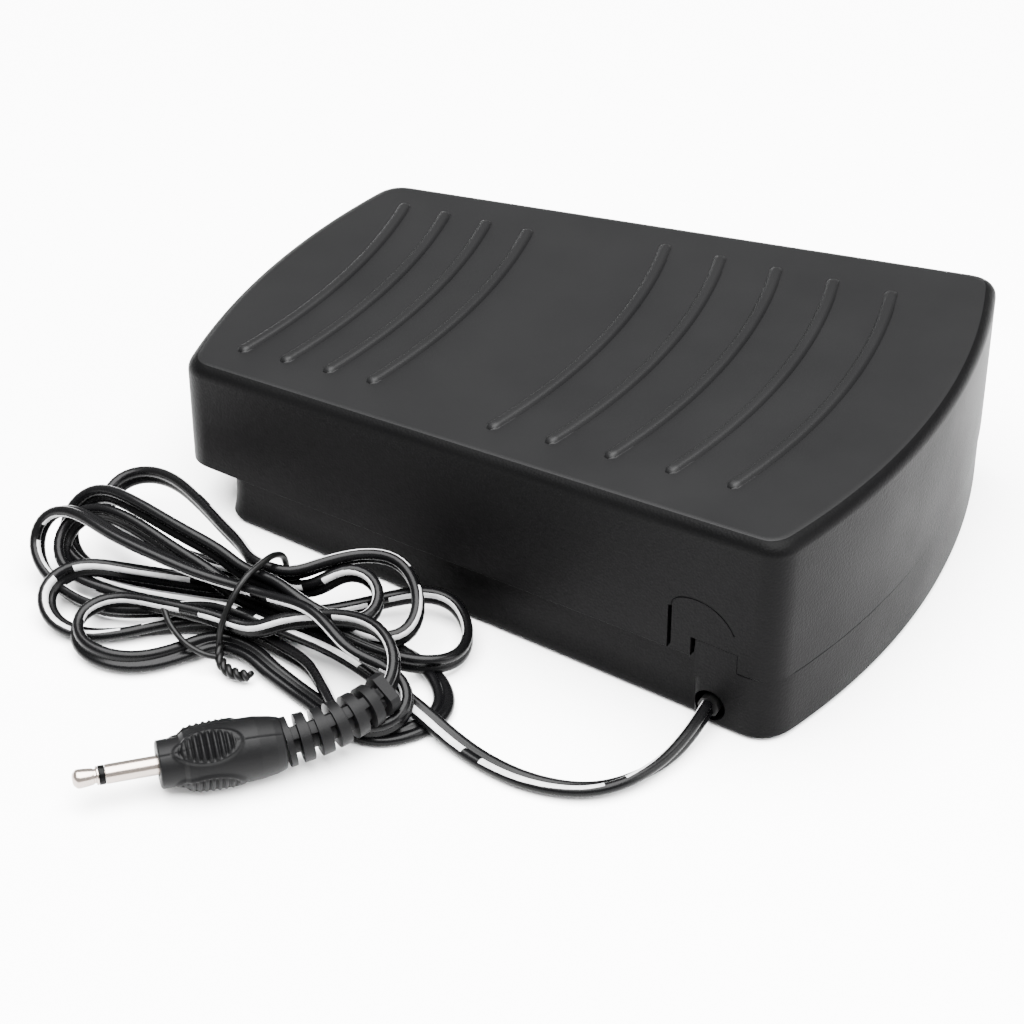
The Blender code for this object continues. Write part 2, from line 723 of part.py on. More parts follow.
def twist_tie():
    """A wire tie closed round the hank's waist."""
    off = TIE_R + GAP
    low_y = hank_side(TIE_X, -1) - off - 0.0002
    high_y = hank_side(TIE_X, 1) + off + 0.0002
    low_z = HANK_Z[0] - off
    high_z = HANK_Z[1] + off
    turn = TIE_TURN_R
    points = []
    for y, z, first in ((high_y, high_z, 0), (low_y, high_z, 1), (low_y, low_z, 2),
                        (high_y, low_z, 3)):
        centre_y = y - turn if y == high_y else y + turn
        centre_z = z - turn if z == high_z else z + turn
        for k in range(4):
            angle = math.pi / 2 * (first + k / 3)
            points.append((TIE_X, centre_y + turn * math.cos(angle),
                           centre_z + turn * math.sin(angle)))
    return tube("twist_tie", points, TIE_R, closed=True)


def plug_frame():
    """An empty at the plug's tip, its Z along the plug towards the cord."""
    frame = bpy.data.objects.new("plug_axis", None)
    parts.objects.link(frame)
    frame.location = PLUG_TIP
    frame.rotation_euler = PLUG_AIM.to_track_quat("Z", "Y").to_euler()
    bpy.context.view_layer.update()
    return frame


def plug_piece(name, profile, frame, mat, sides=20):
    """A turned plug piece; its profile runs from the cord end down to the tip."""
    piece = turned(name, profile, sides)
    place(piece, mat)
    piece.parent = frame
    return piece


def plug(metal, plastic, rubber):
    """Mono plug: tip, insulating ring, sleeve and moulded body."""
    frame = plug_frame()
    plug_piece("plug_tip", TIP_PROFILE, frame, metal)
    plug_piece("plug_ring", RING_PROFILE, frame, plastic)
    plug_piece("plug_sleeve", SLEEVE_PROFILE, frame, metal)
    plug_piece("plug_body", BODY_PROFILE, frame, rubber, 24)


def bend_relief():
    """The bend relief between the plug's body and the cord."""
    along = PLUG_AIM.normalized()
    back = PLUG_TIP + along * RELIEF_START
    side = Vector((-along.y, along.x, 0.0))
    points = [back + along * u + side * v + Vector((0, 0, w)) for u, v, w in RELIEF_ROUTE]
    return tube("plug_relief", smooth_route(points, 14), RELIEF_R)


# ---------------------------------------------------------------- assembly
def build():
    start()
    black = material("black_plastic", (0.012, 0.012, 0.013), 0.45)
    bakelite = material("brown_board", (0.16, 0.07, 0.03), 0.5)
    steel = material("steel", (0.55, 0.55, 0.56), 0.3, 1.0)
    brass = material("brass", (0.72, 0.52, 0.22), 0.3, 1.0)
    nickel = material("nickel", (0.70, 0.66, 0.60), 0.22, 1.0)
    rubber = material("black_rubber", (0.015, 0.015, 0.015), 0.65)
    vinyl = material("black_vinyl", (0.014, 0.014, 0.015), 0.35)
    white = material("white_plastic", (0.75, 0.75, 0.73), 0.5)

    pivot = bpy.data.objects.new("cover_pivot", None)
    parts.objects.link(pivot)
    pivot.location = (PIVOT_X, 0.0, PIVOT_Z)
    leaf_pivot = bpy.data.objects.new("leaf_pivot", None)
    parts.objects.link(leaf_pivot)
    leaf_pivot.location = (LEAF_PIVOT_X, 0.0, STEP_HIGH[2] + GAP)

    place(base_tray(), black)
    place(cover(), black, pivot)
    for side, where in ((1, "front"), (-1, "rear")):
        place(hinge_pin("hinge_pin_" + where, side), steel)
        place(spring("return_spring_" + where, side), steel)
        bumper_low = STOP_TOP + GAP
        place(post("stop_bumper_" + where, STOP_X, -side * STOP_Y,
                   (bumper_low, bumper_low + BUMPER_HIGH), BUMPER_R), rubber)
    for number, (x, y) in enumerate(feet_places(), 1):
        place(foot("rubber_foot_%d" % number, x, y), rubber)

    place(switch_block(), bakelite)
    strip_z = BLOCK_TOP + GAP
    leaf_z = STEP_HIGH[2] + GAP
    place(contact_strip("fixed_contact", FIXED_STRIP_X, strip_z, STRIP_SCREW_X), brass)
    place(rivet("fixed_button", strip_z + STRIP_THICK + GAP), steel)
    place(contact_strip("contact_leaf", LEAF_X, leaf_z, LEAF_SCREW_X), brass, leaf_pivot)
    place(rivet("leaf_button", leaf_z - GAP - BUTTON_HIGH), steel, leaf_pivot)
    for name, x, seat in (("strip_screw", STRIP_SCREW_X, strip_z),
                          ("leaf_screw", LEAF_SCREW_X, leaf_z)):
        place(screw(name, x, 0.0, seat + STRIP_THICK + GAP, SCREW_END), steel)

    place(cord_clamp(), black)
    for where, x in zip(("left", "right"), CLAMP_SCREW_X):
        place(screw("clamp_screw_" + where, x, CLAMP_Y, CLAMP_TOP + GAP, SCREW_END, 0.0020,
                    CLAMP_SCREW_R), steel)
    tail = [(HOLE_X, TAIL_ENDS[0] + (TAIL_ENDS[1] - TAIL_ENDS[0]) * k / 3, HOLE_Z)
            for k in range(4)]
    place(tube("cord_tail", tail, CORD_R), vinyl)
    place(lead_wire("lead_wire_strip", LEAD_TO_STRIP), vinyl)
    place(lead_wire("lead_wire_leaf", LEAD_TO_LEAF), white)

    place(tube("cord_run", smooth_route(CORD_ROUTE, 24), CORD_R), vinyl)
    place(hank(), vinyl)
    place(twist_tie(), black)
    plug(nickel, black, black)
    place(bend_relief(), black)


build()
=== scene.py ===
"""Looks of the foot switch pedal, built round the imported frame. Metres, +Z up."""
import json
import math

import bmesh
import bpy
import numpy as np
from mathutils import Matrix, Vector


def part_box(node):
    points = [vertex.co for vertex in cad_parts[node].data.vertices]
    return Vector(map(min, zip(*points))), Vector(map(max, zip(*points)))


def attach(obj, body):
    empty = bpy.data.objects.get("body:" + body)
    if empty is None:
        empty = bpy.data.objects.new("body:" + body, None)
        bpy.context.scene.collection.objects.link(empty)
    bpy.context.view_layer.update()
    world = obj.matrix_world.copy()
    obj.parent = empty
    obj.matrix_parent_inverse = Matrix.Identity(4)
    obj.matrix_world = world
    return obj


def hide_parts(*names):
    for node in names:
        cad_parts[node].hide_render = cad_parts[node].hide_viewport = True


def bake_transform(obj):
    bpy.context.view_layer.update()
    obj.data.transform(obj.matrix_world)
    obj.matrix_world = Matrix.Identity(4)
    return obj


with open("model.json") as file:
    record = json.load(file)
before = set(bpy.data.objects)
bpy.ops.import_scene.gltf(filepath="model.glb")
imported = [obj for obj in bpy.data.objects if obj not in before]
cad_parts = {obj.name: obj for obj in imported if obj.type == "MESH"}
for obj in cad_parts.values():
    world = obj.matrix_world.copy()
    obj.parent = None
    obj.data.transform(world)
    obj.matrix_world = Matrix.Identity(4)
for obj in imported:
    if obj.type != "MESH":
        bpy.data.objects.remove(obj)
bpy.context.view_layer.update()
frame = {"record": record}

# ---- the housing, as in the frame ----
COVER_LOW, COVER_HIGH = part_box("treadle_cover")
PIVOT = Vector(frame["record"]["behaviour"]["joints"][0]["pos_m"])
BULGE_PRESS = 0.0054
BULGE_HINGE = 0.0088
X_PRESS = COVER_LOW.x + BULGE_PRESS
X_HINGE = COVER_HIGH.x - BULGE_HINGE
HALF_PRESS = 0.0392
HALF_HINGE = 0.0503
TOP_AT_PRESS = 0.0346
TOP_AT_HINGE = 0.0446
SKIRT_AT_PRESS = 0.0115
SKIRT_AT_HINGE = 0.0146
SKIRT_WALL = 0.0016
ROOF = 0.0022
CORNER_R = 0.0045
LEAST_CORNER_R = 0.0015
TOP_EDGE_R = 0.0026
LIP_R = 0.00018

X_TRAY_PRESS = -0.0598
TRAY_BULGE = 0.0040
TRAY_INSET = 0.0020
TRAY_FOOT_INSET = 0.0014
TRAY_FLARE_Z = 0.0070
TRAY_WALL = 0.0018
TRAY_FLOOR_Z = 0.0022
X_FLUSH = 0.0475
FLUSH_INSET = 0.0002
FLUSH_CORNER_R = 0.0060
TAB_END = 0.0560
TAB_TOP = 0.0183

RIB_GROUPS = ((-0.0546, 0.0096, 4, 0.0315), (0.0041, 0.01205, 5, 0.0365))
RIB_ARC_R = 0.1290
RIB_WIDTH = 0.0029
RIB_HEIGHT = 0.0008
RIB_TAPER = 0.0011
RIB_ROOT = 0.0006

# ---- the mechanism; a pair stands at +y and -y ----
TRAY_BOTTOM = 0.0005
BORE_R = 0.0020
EAR_CLEAR, EAR_THICK = 0.0008, 0.0030
LUG_STARTS, LUG_ENDS = 0.0035, 0.0075  # in from the ear's outer face
SPRING_X, SPRING_Y = -0.035, 0.022
POST_X, POST_Y = -0.046, 0.027
FEET = ((-0.0440, 0.0260), (0.0310, 0.0370))
SWITCH_SCREWS_X = (0.0040, 0.0160)
CLAMP_Y = -0.036
CLAMP_SCREWS_OFF = (-0.0062, 0.0062)

# ---- the cord ----
CORD_WIDTH = 0.0042
CORD_THICK = 0.0021
STEP = 0.0014
HOLE = Vector((0.0510, -0.0499, 0.0046))
HOLE_R = 0.0032
STRIPE_AT, STRIPE_HALF = 0.375, 0.082  # shares of the way round the cord
DASH_PITCH, DASH_SHARE = 0.027, 0.85

MM = 1000.0  # millimetres in a metre
CLOUDY = (0.3, 0.7)  # the range that a noise really fills


def placed(name, data):
    """A new object in the scene that shows the data."""
    obj = bpy.data.objects.new(name, data)
    bpy.context.scene.collection.objects.link(obj)
    return obj


def from_bmesh(name, work):
    """A new object that holds the bmesh, which is used up."""
    mesh = bpy.data.meshes.new(name)
    work.to_mesh(mesh)
    work.free()
    return placed(name, mesh)


def around(count):
    """Evenly spaced angles of one whole turn."""
    return np.linspace(0.0, 2 * math.pi, count, endpoint=False)


# ---------------------------------------------------------------- camera and light
def camera():
    """The lens and the place the product is seen from."""
    azimuth = math.radians(28.78)
    elevation = math.radians(36.74)
    back = Vector((math.sin(azimuth) * math.cos(elevation),
                   -math.cos(azimuth) * math.cos(elevation), math.sin(elevation)))
    data = bpy.data.cameras.new("camera")
    data.lens = 102.2
    data.sensor_width = 36.0
    data.clip_end = 20.0
    eye = placed("camera", data)
    eye.location = (0.21089, -0.41352, 0.34371)
    eye.rotation_mode = "QUATERNION"
    eye.rotation_quaternion = (-back).to_track_quat("-Z", "Y")
    bpy.context.scene.camera = eye


def area_light(name, place, aim, size, power):
    """A white rectangular lamp that looks from place to aim; power in watts."""
    data = bpy.data.lights.new(name, "AREA")
    data.shape = "RECTANGLE"
    data.size, data.size_y = size
    data.energy = power
    lamp = placed(name, data)
    lamp.location = place
    lamp.rotation_mode = "QUATERNION"
    lamp.rotation_quaternion = (Vector(aim) - Vector(place)).to_track_quat("-Z", "Y")


def studio():
    """A pale floor, a white surround, a large lamp overhead and a small one at the right."""
    world = bpy.data.worlds.new("studio")
    world.use_nodes = True
    sky = world.node_tree.nodes["Background"]
    sky.inputs["Color"].default_value = (1.0, 1.0, 1.0, 1.0)
    sky.inputs["Strength"].default_value = 1.4
    bpy.context.scene.world = world
    area_light("top_box", (0.05, -0.15, 1.30), (0.0, -0.02, 0.0), (1.6, 1.6), 310.0)
    area_light("right_box", (0.95, 0.05, 0.40), (0.0, 0.0, 0.02), (0.5, 0.7), 20.0)

    work = bmesh.new()
    bmesh.ops.create_grid(work, x_segments=1, y_segments=1, size=4.0)
    floor = from_bmesh("floor", work)
    floor.location.z = -0.0001  # just under the feet
    floor.data.materials.append(floor_material())


# ---------------------------------------------------------------- material helpers
class Nodes:
    """A short way to add and join shader nodes."""

    def __init__(self, name):
        self.material = bpy.data.materials.new(name)
        self.material.use_nodes = True
        self.tree = self.material.node_tree
        self.shader = self.tree.nodes["Principled BSDF"]

    def add(self, kind, **settings):
        node = self.tree.nodes.new(kind)
        for key, value in settings.items():
            setattr(node, key, value)
        return node

    def link(self, out, into):
        self.tree.links.new(out, into)

    def coords(self):
        return self.add("ShaderNodeTexCoord").outputs["Object"]

    def noise(self, coords, scale, detail=3.0, roughness=0.5):
        node = self.add("ShaderNodeTexNoise")
        node.inputs["Scale"].default_value = scale
        node.inputs["Detail"].default_value = detail
        node.inputs["Roughness"].default_value = roughness
        self.link(coords, node.inputs["Vector"])
        return node.outputs["Fac"]

    def ramp(self, value, low, high, start=0.0, end=1.0):
        """value mapped from start..end to low..high; colours or numbers."""
        if isinstance(low, (int, float)):
            node = self.add("ShaderNodeMapRange")
            node.inputs["From Min"].default_value = start
            node.inputs["From Max"].default_value = end
            node.inputs["To Min"].default_value = low
            node.inputs["To Max"].default_value = high
            self.link(value, node.inputs["Value"])
            return node.outputs["Result"]
        node = self.add("ShaderNodeValToRGB")
        node.color_ramp.elements[0].position = start
        node.color_ramp.elements[1].position = end
        node.color_ramp.elements[0].color = (*low, 1.0)
        node.color_ramp.elements[1].color = (*high, 1.0)
        self.link(value, node.inputs["Fac"])
        return node.outputs["Color"]

    def bump(self, height, distance, strength=1.0, normal=None):
        node = self.add("ShaderNodeBump")
        node.inputs["Distance"].default_value = distance
        node.inputs["Strength"].default_value = strength
        self.link(height, node.inputs["Height"])
        if normal is not None:
            self.link(normal, node.inputs["Normal"])
        return node.outputs["Normal"]

    def set(self, socket, value):
        self.shader.inputs[socket].default_value = value

    def feed(self, socket, out):
        self.link(out, self.shader.inputs[socket])


def floor_material():
    """Matt white paper with the faintest unevenness."""
    n = Nodes("floor_paper")
    tone = n.noise(n.coords(), 3.0)
    n.feed("Base Color", n.ramp(tone, (0.86, 0.86, 0.86), (0.88, 0.88, 0.88)))
    n.set("Roughness", 0.9)
    n.set("Specular IOR Level", 0.1)
    return n.material


def moulded_plastic(name, dark, light, rough, grain_m, depth, spark=0.0, shine=0.22):
    """Moulded plastic: cloudy tone, fine grain, and spark texture where asked.

    rough is the lowest and highest roughness; grain_m, depth and spark are metres.
    """
    n = Nodes(name)
    coords = n.coords()
    cloud = n.noise(coords, 45.0, 4.0)
    n.feed("Base Color", n.ramp(cloud, dark, light, *CLOUDY))
    fine = n.noise(coords, 1.0 / grain_m, 2.0, 0.6)
    n.set("Specular IOR Level", shine)
    mixed = n.add("ShaderNodeMath", operation="ADD")
    n.link(n.ramp(cloud, *rough, *CLOUDY), mixed.inputs[0])
    n.link(n.ramp(fine, -0.05, 0.05), mixed.inputs[1])
    n.feed("Roughness", mixed.outputs[0])
    normal = n.bump(fine, depth)
    if spark:
        pits = n.add("ShaderNodeTexVoronoi", feature="F1")
        pits.inputs["Scale"].default_value = 1.0 / (grain_m * 1.6)
        n.link(coords, pits.inputs["Vector"])
        normal = n.bump(pits.outputs["Distance"], spark, 0.8, normal)
    n.feed("Normal", normal)
    return n.material


def metal(name, colour, rough, scratch_m=0.0004, warm=0.03):
    """Plated or rolled metal with fine handling marks."""
    n = Nodes(name)
    coords = n.coords()
    cloud = n.noise(coords, 160.0, 3.0)
    shade = tuple(c * (1.0 - warm) for c in colour)
    n.feed("Base Color", n.ramp(cloud, shade, colour, *CLOUDY))
    n.set("Metallic", 1.0)
    marks = n.noise(coords, 1.0 / scratch_m, 3.0, 0.7)
    n.feed("Roughness", n.ramp(marks, rough * 0.75, rough * 1.35, *CLOUDY))
    n.feed("Normal", n.bump(marks, 0.00001, 0.5))
    return n.material


def cord_material():
    """Black vinyl; a broken pale stripe runs along one conductor."""
    n = Nodes("cord_vinyl_striped")
    coords = n.coords()
    place = n.add("ShaderNodeUVMap", uv_map="along")
    split = n.add("ShaderNodeSeparateXYZ")
    n.link(place.outputs["UV"], split.inputs["Vector"])
    across, along = split.outputs["X"], split.outputs["Y"]

    def math_node(operation, first, second=None, third=None):
        node = n.add("ShaderNodeMath", operation=operation)
        for slot, value in enumerate((first, second, third)):
            if value is None:
                continue
            if isinstance(value, (int, float)):
                node.inputs[slot].default_value = value
            else:
                n.link(value, node.inputs[slot])
        return node.outputs[0]

    waver = math_node("MULTIPLY_ADD", n.noise(coords, 260.0, 2.0), 0.02, -0.01)
    centred = math_node("SUBTRACT", math_node("ADD", across, waver), STRIPE_AT)
    inside = math_node("LESS_THAN", math_node("ABSOLUTE", centred), STRIPE_HALF)
    phase = math_node("FRACT", math_node("MULTIPLY", along, 1.0 / DASH_PITCH))
    dash = math_node("LESS_THAN", phase, DASH_SHARE)
    stripe = math_node("MULTIPLY", inside, dash)
    worn = n.ramp(n.noise(coords, 1500.0, 2.0), 0.80, 1.0, 0.30, 0.42)
    stripe = math_node("MULTIPLY", stripe, worn)

    ink = n.ramp(n.noise(coords, 500.0, 2.0), (0.26, 0.26, 0.265), (0.34, 0.34, 0.34), *CLOUDY)
    vinyl = n.ramp(n.noise(coords, 90.0, 3.0), (0.0007, 0.0007, 0.0008),
                   (0.0014, 0.0014, 0.0015), *CLOUDY)
    mix = n.add("ShaderNodeMix", data_type="RGBA")
    n.link(stripe, mix.inputs["Factor"])
    n.link(vinyl, mix.inputs["A"])
    n.link(ink, mix.inputs["B"])
    n.feed("Base Color", mix.outputs["Result"])
    fine = n.noise(coords, 2600.0, 2.0)
    rough = math_node("MULTIPLY_ADD", stripe, 0.22, n.ramp(fine, 0.22, 0.32))
    n.set("Specular IOR Level", 0.06)
    n.feed("Roughness", rough)
    n.feed("Normal", n.bump(fine, 0.000003, 0.3))
    return n.material


# ---------------------------------------------------------------- cord
# Millimetres. Each loop leaves one slot of the tied waist and comes back into another.
# A slot is the y and z of a strand where the tie holds it.
WAIST_X = (-30.0, -34.0, -38.0)
SLOTS = {
    "T1": (-61.0, 11.6), "T2": (-64.6, 12.2), "T3": (-68.4, 11.8),
    "M1": (-59.4, 7.3), "M2": (-62.6, 7.4), "M3": (-66.2, 7.2), "M4": (-70.0, 7.3),
    "M5": (-73.6, 7.0),
    "L1": (-61.6, 3.2), "L2": (-65.6, 3.0), "L3": (-69.8, 3.0), "L4": (-74.0, 3.0)}
RUN = (
    (51.0, -49.9, 4.6), (51.0, -54.5, 3.9), (50.4, -59.4, 2.7), (48.4, -66.2, 1.6),
    (45.4, -72.0, 1.2), (40.9, -76.4, 1.2), (34.7, -78.7, 1.2), (27.7, -79.3, 1.2),
    (19.2, -77.9, 1.2), (12.0, -75.9, 1.9), (6.0, -74.2, 3.1), (0.5, -72.6, 3.8),
    (-6.0, -70.8, 4.8), (-15.0, -69.6, 6.2), (-24.0, -69.8, 7.0))
LOOPS = (
    ("M4", "T3", (  # outer left
        (-43.0, -70.5, 6.2), (-52.0, -74.0, 4.4), (-61.0, -77.0, 3.4), (-70.0, -76.3, 3.6),
        (-78.0, -73.0, 5.2), (-81.6, -69.5, 8.4), (-80.5, -67.0, 11.8), (-73.5, -67.0, 14.0),
        (-64.0, -69.0, 14.0), (-54.0, -69.3, 13.2), (-44.0, -69.0, 12.2))),
    ("T3", "L3", (  # over the front, under
        (-26.0, -69.0, 12.6), (-20.0, -69.6, 13.4), (-14.0, -72.0, 12.8), (-9.0, -73.8, 10.6),
        (-3.5, -72.8, 9.0), (2.2, -73.4, 7.0), (4.8, -77.8, 4.8), (1.4, -82.6, 3.4),
        (-5.2, -82.4, 3.2), (-12.0, -77.4, 3.2), (-19.0, -72.3, 3.1), (-25.0, -71.0, 3.0))),
    ("L3", "M2", (  # low left
        (-44.0, -71.5, 2.6), (-50.0, -75.4, 2.3), (-56.0, -80.6, 2.2), (-62.0, -83.6, 2.3),
        (-68.8, -83.2, 3.2), (-73.0, -78.8, 5.0), (-69.4, -73.4, 6.8), (-58.0, -69.8, 7.6),
        (-46.0, -66.0, 7.6))),
    ("M2", "T1", (  # big right
        (-24.0, -63.0, 7.0), (-15.0, -63.2, 6.2), (-9.0, -62.4, 5.6), (-5.5, -59.8, 5.8),
        (-5.8, -55.5, 8.0), (-9.5, -50.7, 11.0), (-14.0, -49.0, 13.0), (-19.0, -51.5, 14.0),
        (-25.0, -56.5, 13.2))),
    ("T1", "M1", (  # rear left
        (-42.0, -57.5, 11.0), (-49.0, -54.0, 11.0), (-57.0, -49.8, 11.0), (-66.0, -46.3, 11.0),
        (-73.0, -46.0, 10.0), (-77.2, -48.6, 8.8), (-77.0, -52.8, 7.4), (-71.0, -57.0, 6.6),
        (-60.0, -59.3, 6.4), (-48.0, -59.8, 6.8))),
    ("M1", "T2", (  # small right
        (-27.5, -59.5, 8.0), (-23.8, -58.6, 9.6), (-22.4, -56.3, 11.4), (-19.6, -54.3, 12.0),
        (-16.0, -54.6, 11.4), (-13.2, -57.5, 9.8), (-12.6, -61.0, 8.6), (-15.5, -64.6, 8.8),
        (-21.0, -66.0, 10.4), (-27.0, -65.6, 11.8))),
    ("T2", "L1", (  # upper left
        (-42.0, -63.5, 13.2), (-54.0, -62.6, 15.0), (-66.0, -61.0, 16.0), (-73.0, -60.0, 15.0),
        (-77.0, -61.5, 12.4), (-78.0, -65.0, 8.5), (-73.5, -68.6, 5.4), (-62.0, -68.5, 4.2),
        (-48.0, -64.5, 3.4))),
    ("L1", "M3", (  # far right
        (-25.0, -59.5, 3.6), (-18.0, -54.0, 4.4), (-12.4, -48.9, 5.2), (-8.5, -46.2, 5.2),
        (-4.0, -45.6, 4.8), (0.0, -48.0, 3.8), (3.3, -52.3, 3.0), (4.2, -57.0, 2.4),
        (2.0, -61.5, 2.8), (-3.0, -64.5, 3.6), (-10.0, -66.0, 4.8), (-18.0, -66.0, 6.0),
        (-25.0, -66.0, 6.8))),
    ("M3", "L2", (  # inner left
        (-43.0, -65.5, 8.8), (-54.0, -64.5, 11.0), (-65.0, -63.0, 12.6), (-72.5, -62.8, 12.0),
        (-76.5, -65.0, 9.4), (-76.3, -69.0, 6.4), (-71.0, -72.0, 4.6), (-62.0, -72.0, 3.8),
        (-50.0, -69.5, 3.2), (-42.0, -67.0, 3.0))),
    ("L2", "L4", (  # lowest right
        (-25.0, -63.5, 3.2), (-16.0, -61.0, 3.2), (-8.0, -59.3, 2.8), (-2.0, -60.5, 2.3),
        (3.5, -63.4, 1.8), (6.9, -67.0, 1.4), (8.3, -70.3, 1.2), (7.4, -75.0, 1.2),
        (4.8, -79.4, 1.2), (0.5, -82.6, 1.2), (-6.0, -81.8, 1.2), (-13.0, -79.3, 1.3),
        (-20.6, -77.0, 1.6), (-27.0, -75.4, 2.4))),
    ("L4", "M5", (  # front left
        (-40.0, -76.5, 2.4), (-43.5, -82.0, 2.2), (-48.0, -86.4, 2.2), (-54.0, -87.9, 2.2),
        (-60.2, -86.4, 2.4), (-63.4, -81.6, 3.6), (-59.0, -76.8, 5.0), (-49.0, -75.0, 6.3))))
TO_PLUG = (
    (-26.0, -71.0, 9.2), (-19.0, -68.2, 11.0), (-13.4, -66.9, 12.2), (-7.6, -67.2, 12.8),
    (-2.6, -69.7, 12.2), (0.4, -73.5, 10.4), (1.1, -77.0, 8.9), (0.9, -79.5, 8.3))


def resample(points, step):
    """Evenly spaced points on a smooth curve through the given ones."""
    points = np.asarray(points, float)
    ends = np.vstack((2 * points[0] - points[1], points, 2 * points[-1] - points[-2]))
    fine = []
    for k in range(1, len(ends) - 2):
        a, b, c, d = ends[k - 1:k + 3]
        gaps = [max(np.linalg.norm(q - p), 1e-9) ** 0.5 for p, q in ((a, b), (b, c), (c, d))]
        lead = (c - b) - gaps[1] * ((c - a) / (gaps[0] + gaps[1]) - (b - a) / gaps[0])
        tail = (c - b) - gaps[1] * ((d - b) / (gaps[1] + gaps[2]) - (d - c) / gaps[2])
        for t in np.linspace(0.0, 1.0, 24, endpoint=False):
            fine.append((2 * b - 2 * c + lead + tail) * t ** 3
                        + (-3 * b + 3 * c - 2 * lead - tail) * t ** 2 + lead * t + b)
    fine.append(ends[-2])
    fine = np.array(fine)
    run = np.concatenate(([0.0], np.cumsum(np.linalg.norm(np.diff(fine, axis=0), axis=1))))
    count = int(round(run[-1] / step)) + 1
    want = np.linspace(0.0, run[-1], count)
    return np.column_stack([np.interp(want, run, fine[:, axis]) for axis in range(3)])


def soften(values, rounds):
    """Runs a short averaging filter along the rows; the ends stay."""
    values = values.copy()
    for _ in range(rounds):
        values[1:-1] = 0.25 * values[:-2] + 0.5 * values[1:-1] + 0.25 * values[2:]
    return values


APART = 2.7  # a strand's mean thickness
NEIGHBOURS = 6  # steps along the cord that may be closer
FOLD_SPAN, FOLD_CHORD = 4, 10.0  # a fold's two sides are opened this far
HELD_AT_HOLE, HELD_AT_PLUG = 44, 14  # steps at the ends that stay in place
ROUNDS = 140
FARTHEST = 6.0  # the most that a point may be moved
LOWEST = 1.15


def cord_route():
    """The whole route in metres: hole, run, loops through the waist, plug.

    Strands that would cut through each other are pushed apart, and tight folds are opened.
    """
    def through(slot, to_left):
        order = WAIST_X if to_left else WAIST_X[::-1]
        return [(x, *SLOTS[slot]) for x in order]

    points = list(RUN)
    to_left = True
    for enter, _, loop in LOOPS:
        points += through(enter, to_left)
        points += loop
        to_left = not to_left
    points += through(LOOPS[-1][1], to_left)
    points += TO_PLUG
    path = resample(points, STEP * MM)
    ends = np.ones(len(path))
    ends[:HELD_AT_HOLE] = 0.0
    ends[-HELD_AT_PLUG:] = 0.0
    home = soften(path, 3)
    shift = np.zeros_like(path)
    across = 2 * FOLD_SPAN
    index = np.arange(len(path))
    far = np.abs(index[:, None] - index[None, :]) > NEIGHBOURS
    for _ in range(ROUNDS):
        path = home + shift
        delta = path[:, None, :] - path[None, :, :]
        gap = np.linalg.norm(delta, axis=2) + 1e-9
        push = np.where(far & (gap < APART), (APART - gap) / gap, 0.0)
        move = (delta * push[:, :, None]).sum(axis=1) * 0.22
        chord = path[across:] - path[:-across]
        wide = np.linalg.norm(chord, axis=1)
        opened = chord * (np.maximum(FOLD_CHORD - wide, 0.0) / wide)[:, None] * 0.55
        move[across:] += opened
        move[:-across] -= opened
        shift = soften(shift + move * ends[:, None], 3) * ends[:, None]
        size = np.linalg.norm(shift, axis=1) + 1e-9
        shift *= np.minimum(1.0, FARTHEST / size)[:, None]
    path = soften(home + shift, 3)
    path[:, 2] = np.maximum(path[:, 2], LOWEST)
    return resample(path, STEP * MM) / MM


def tangents(path):
    along = np.gradient(path, axis=0)
    return along / np.linalg.norm(along, axis=1)[:, None]


ON_FLOOR = 0.0023  # a middle line below this lies flat
BEND_SEEN, BEND_FULL = 40.0, 120.0  # curvature that starts and ends the turning


def cord_lean(path):
    """Which way the cord's wide side points at each place along it.

    It lies flat on the floor, stands on edge in the tie, and turns to the easy side in a bend.
    """
    along = tangents(path)
    count = len(path)
    plain = np.zeros((count, 3))
    plain[0] = np.cross(along[0], (0.0, 0.0, 1.0))
    plain[0] /= np.linalg.norm(plain[0])
    for k in range(1, count):
        side = plain[k - 1] - along[k] * plain[k - 1].dot(along[k])
        plain[k] = side / np.linalg.norm(side)
    other = np.cross(along, plain)
    bend = np.gradient(along, axis=0) / STEP
    curve = np.linalg.norm(bend, axis=1)
    angle = np.zeros(count)
    weight = np.zeros(count)
    up = np.array((0.0, 0.0, 1.0))
    tie_from, tie_to = (min(WAIST_X) - 2.0) / MM, (max(WAIST_X) + 2.0) / MM
    for k in range(count):
        in_tie = tie_from < path[k, 0] < tie_to and path[k, 1] < -0.055
        if path[k, 2] < ON_FLOOR:
            want, strong = np.cross(along[k], up), 1.0
        elif in_tie:
            want, strong = up, 0.7
        elif curve[k] > BEND_SEEN:
            want, strong = np.cross(along[k], bend[k]), min(curve[k] / BEND_FULL, 1.0)
        else:
            want, strong = up, 0.05
        want = want - along[k] * want.dot(along[k])
        if np.linalg.norm(want) < 1e-6:
            continue
        angle[k] = math.atan2(want.dot(other[k]), want.dot(plain[k]))
        weight[k] = strong
    turn = np.zeros(count)
    held = angle[0]
    for k in range(count):
        near = held + (angle[k] - held + math.pi / 2) % math.pi - math.pi / 2
        held += (near - held) * 0.10 * weight[k]
        turn[k] = held
    turn = soften(turn[:, None], 30)[:, 0]
    return plain * np.cos(turn)[:, None] + other * np.sin(turn)[:, None]


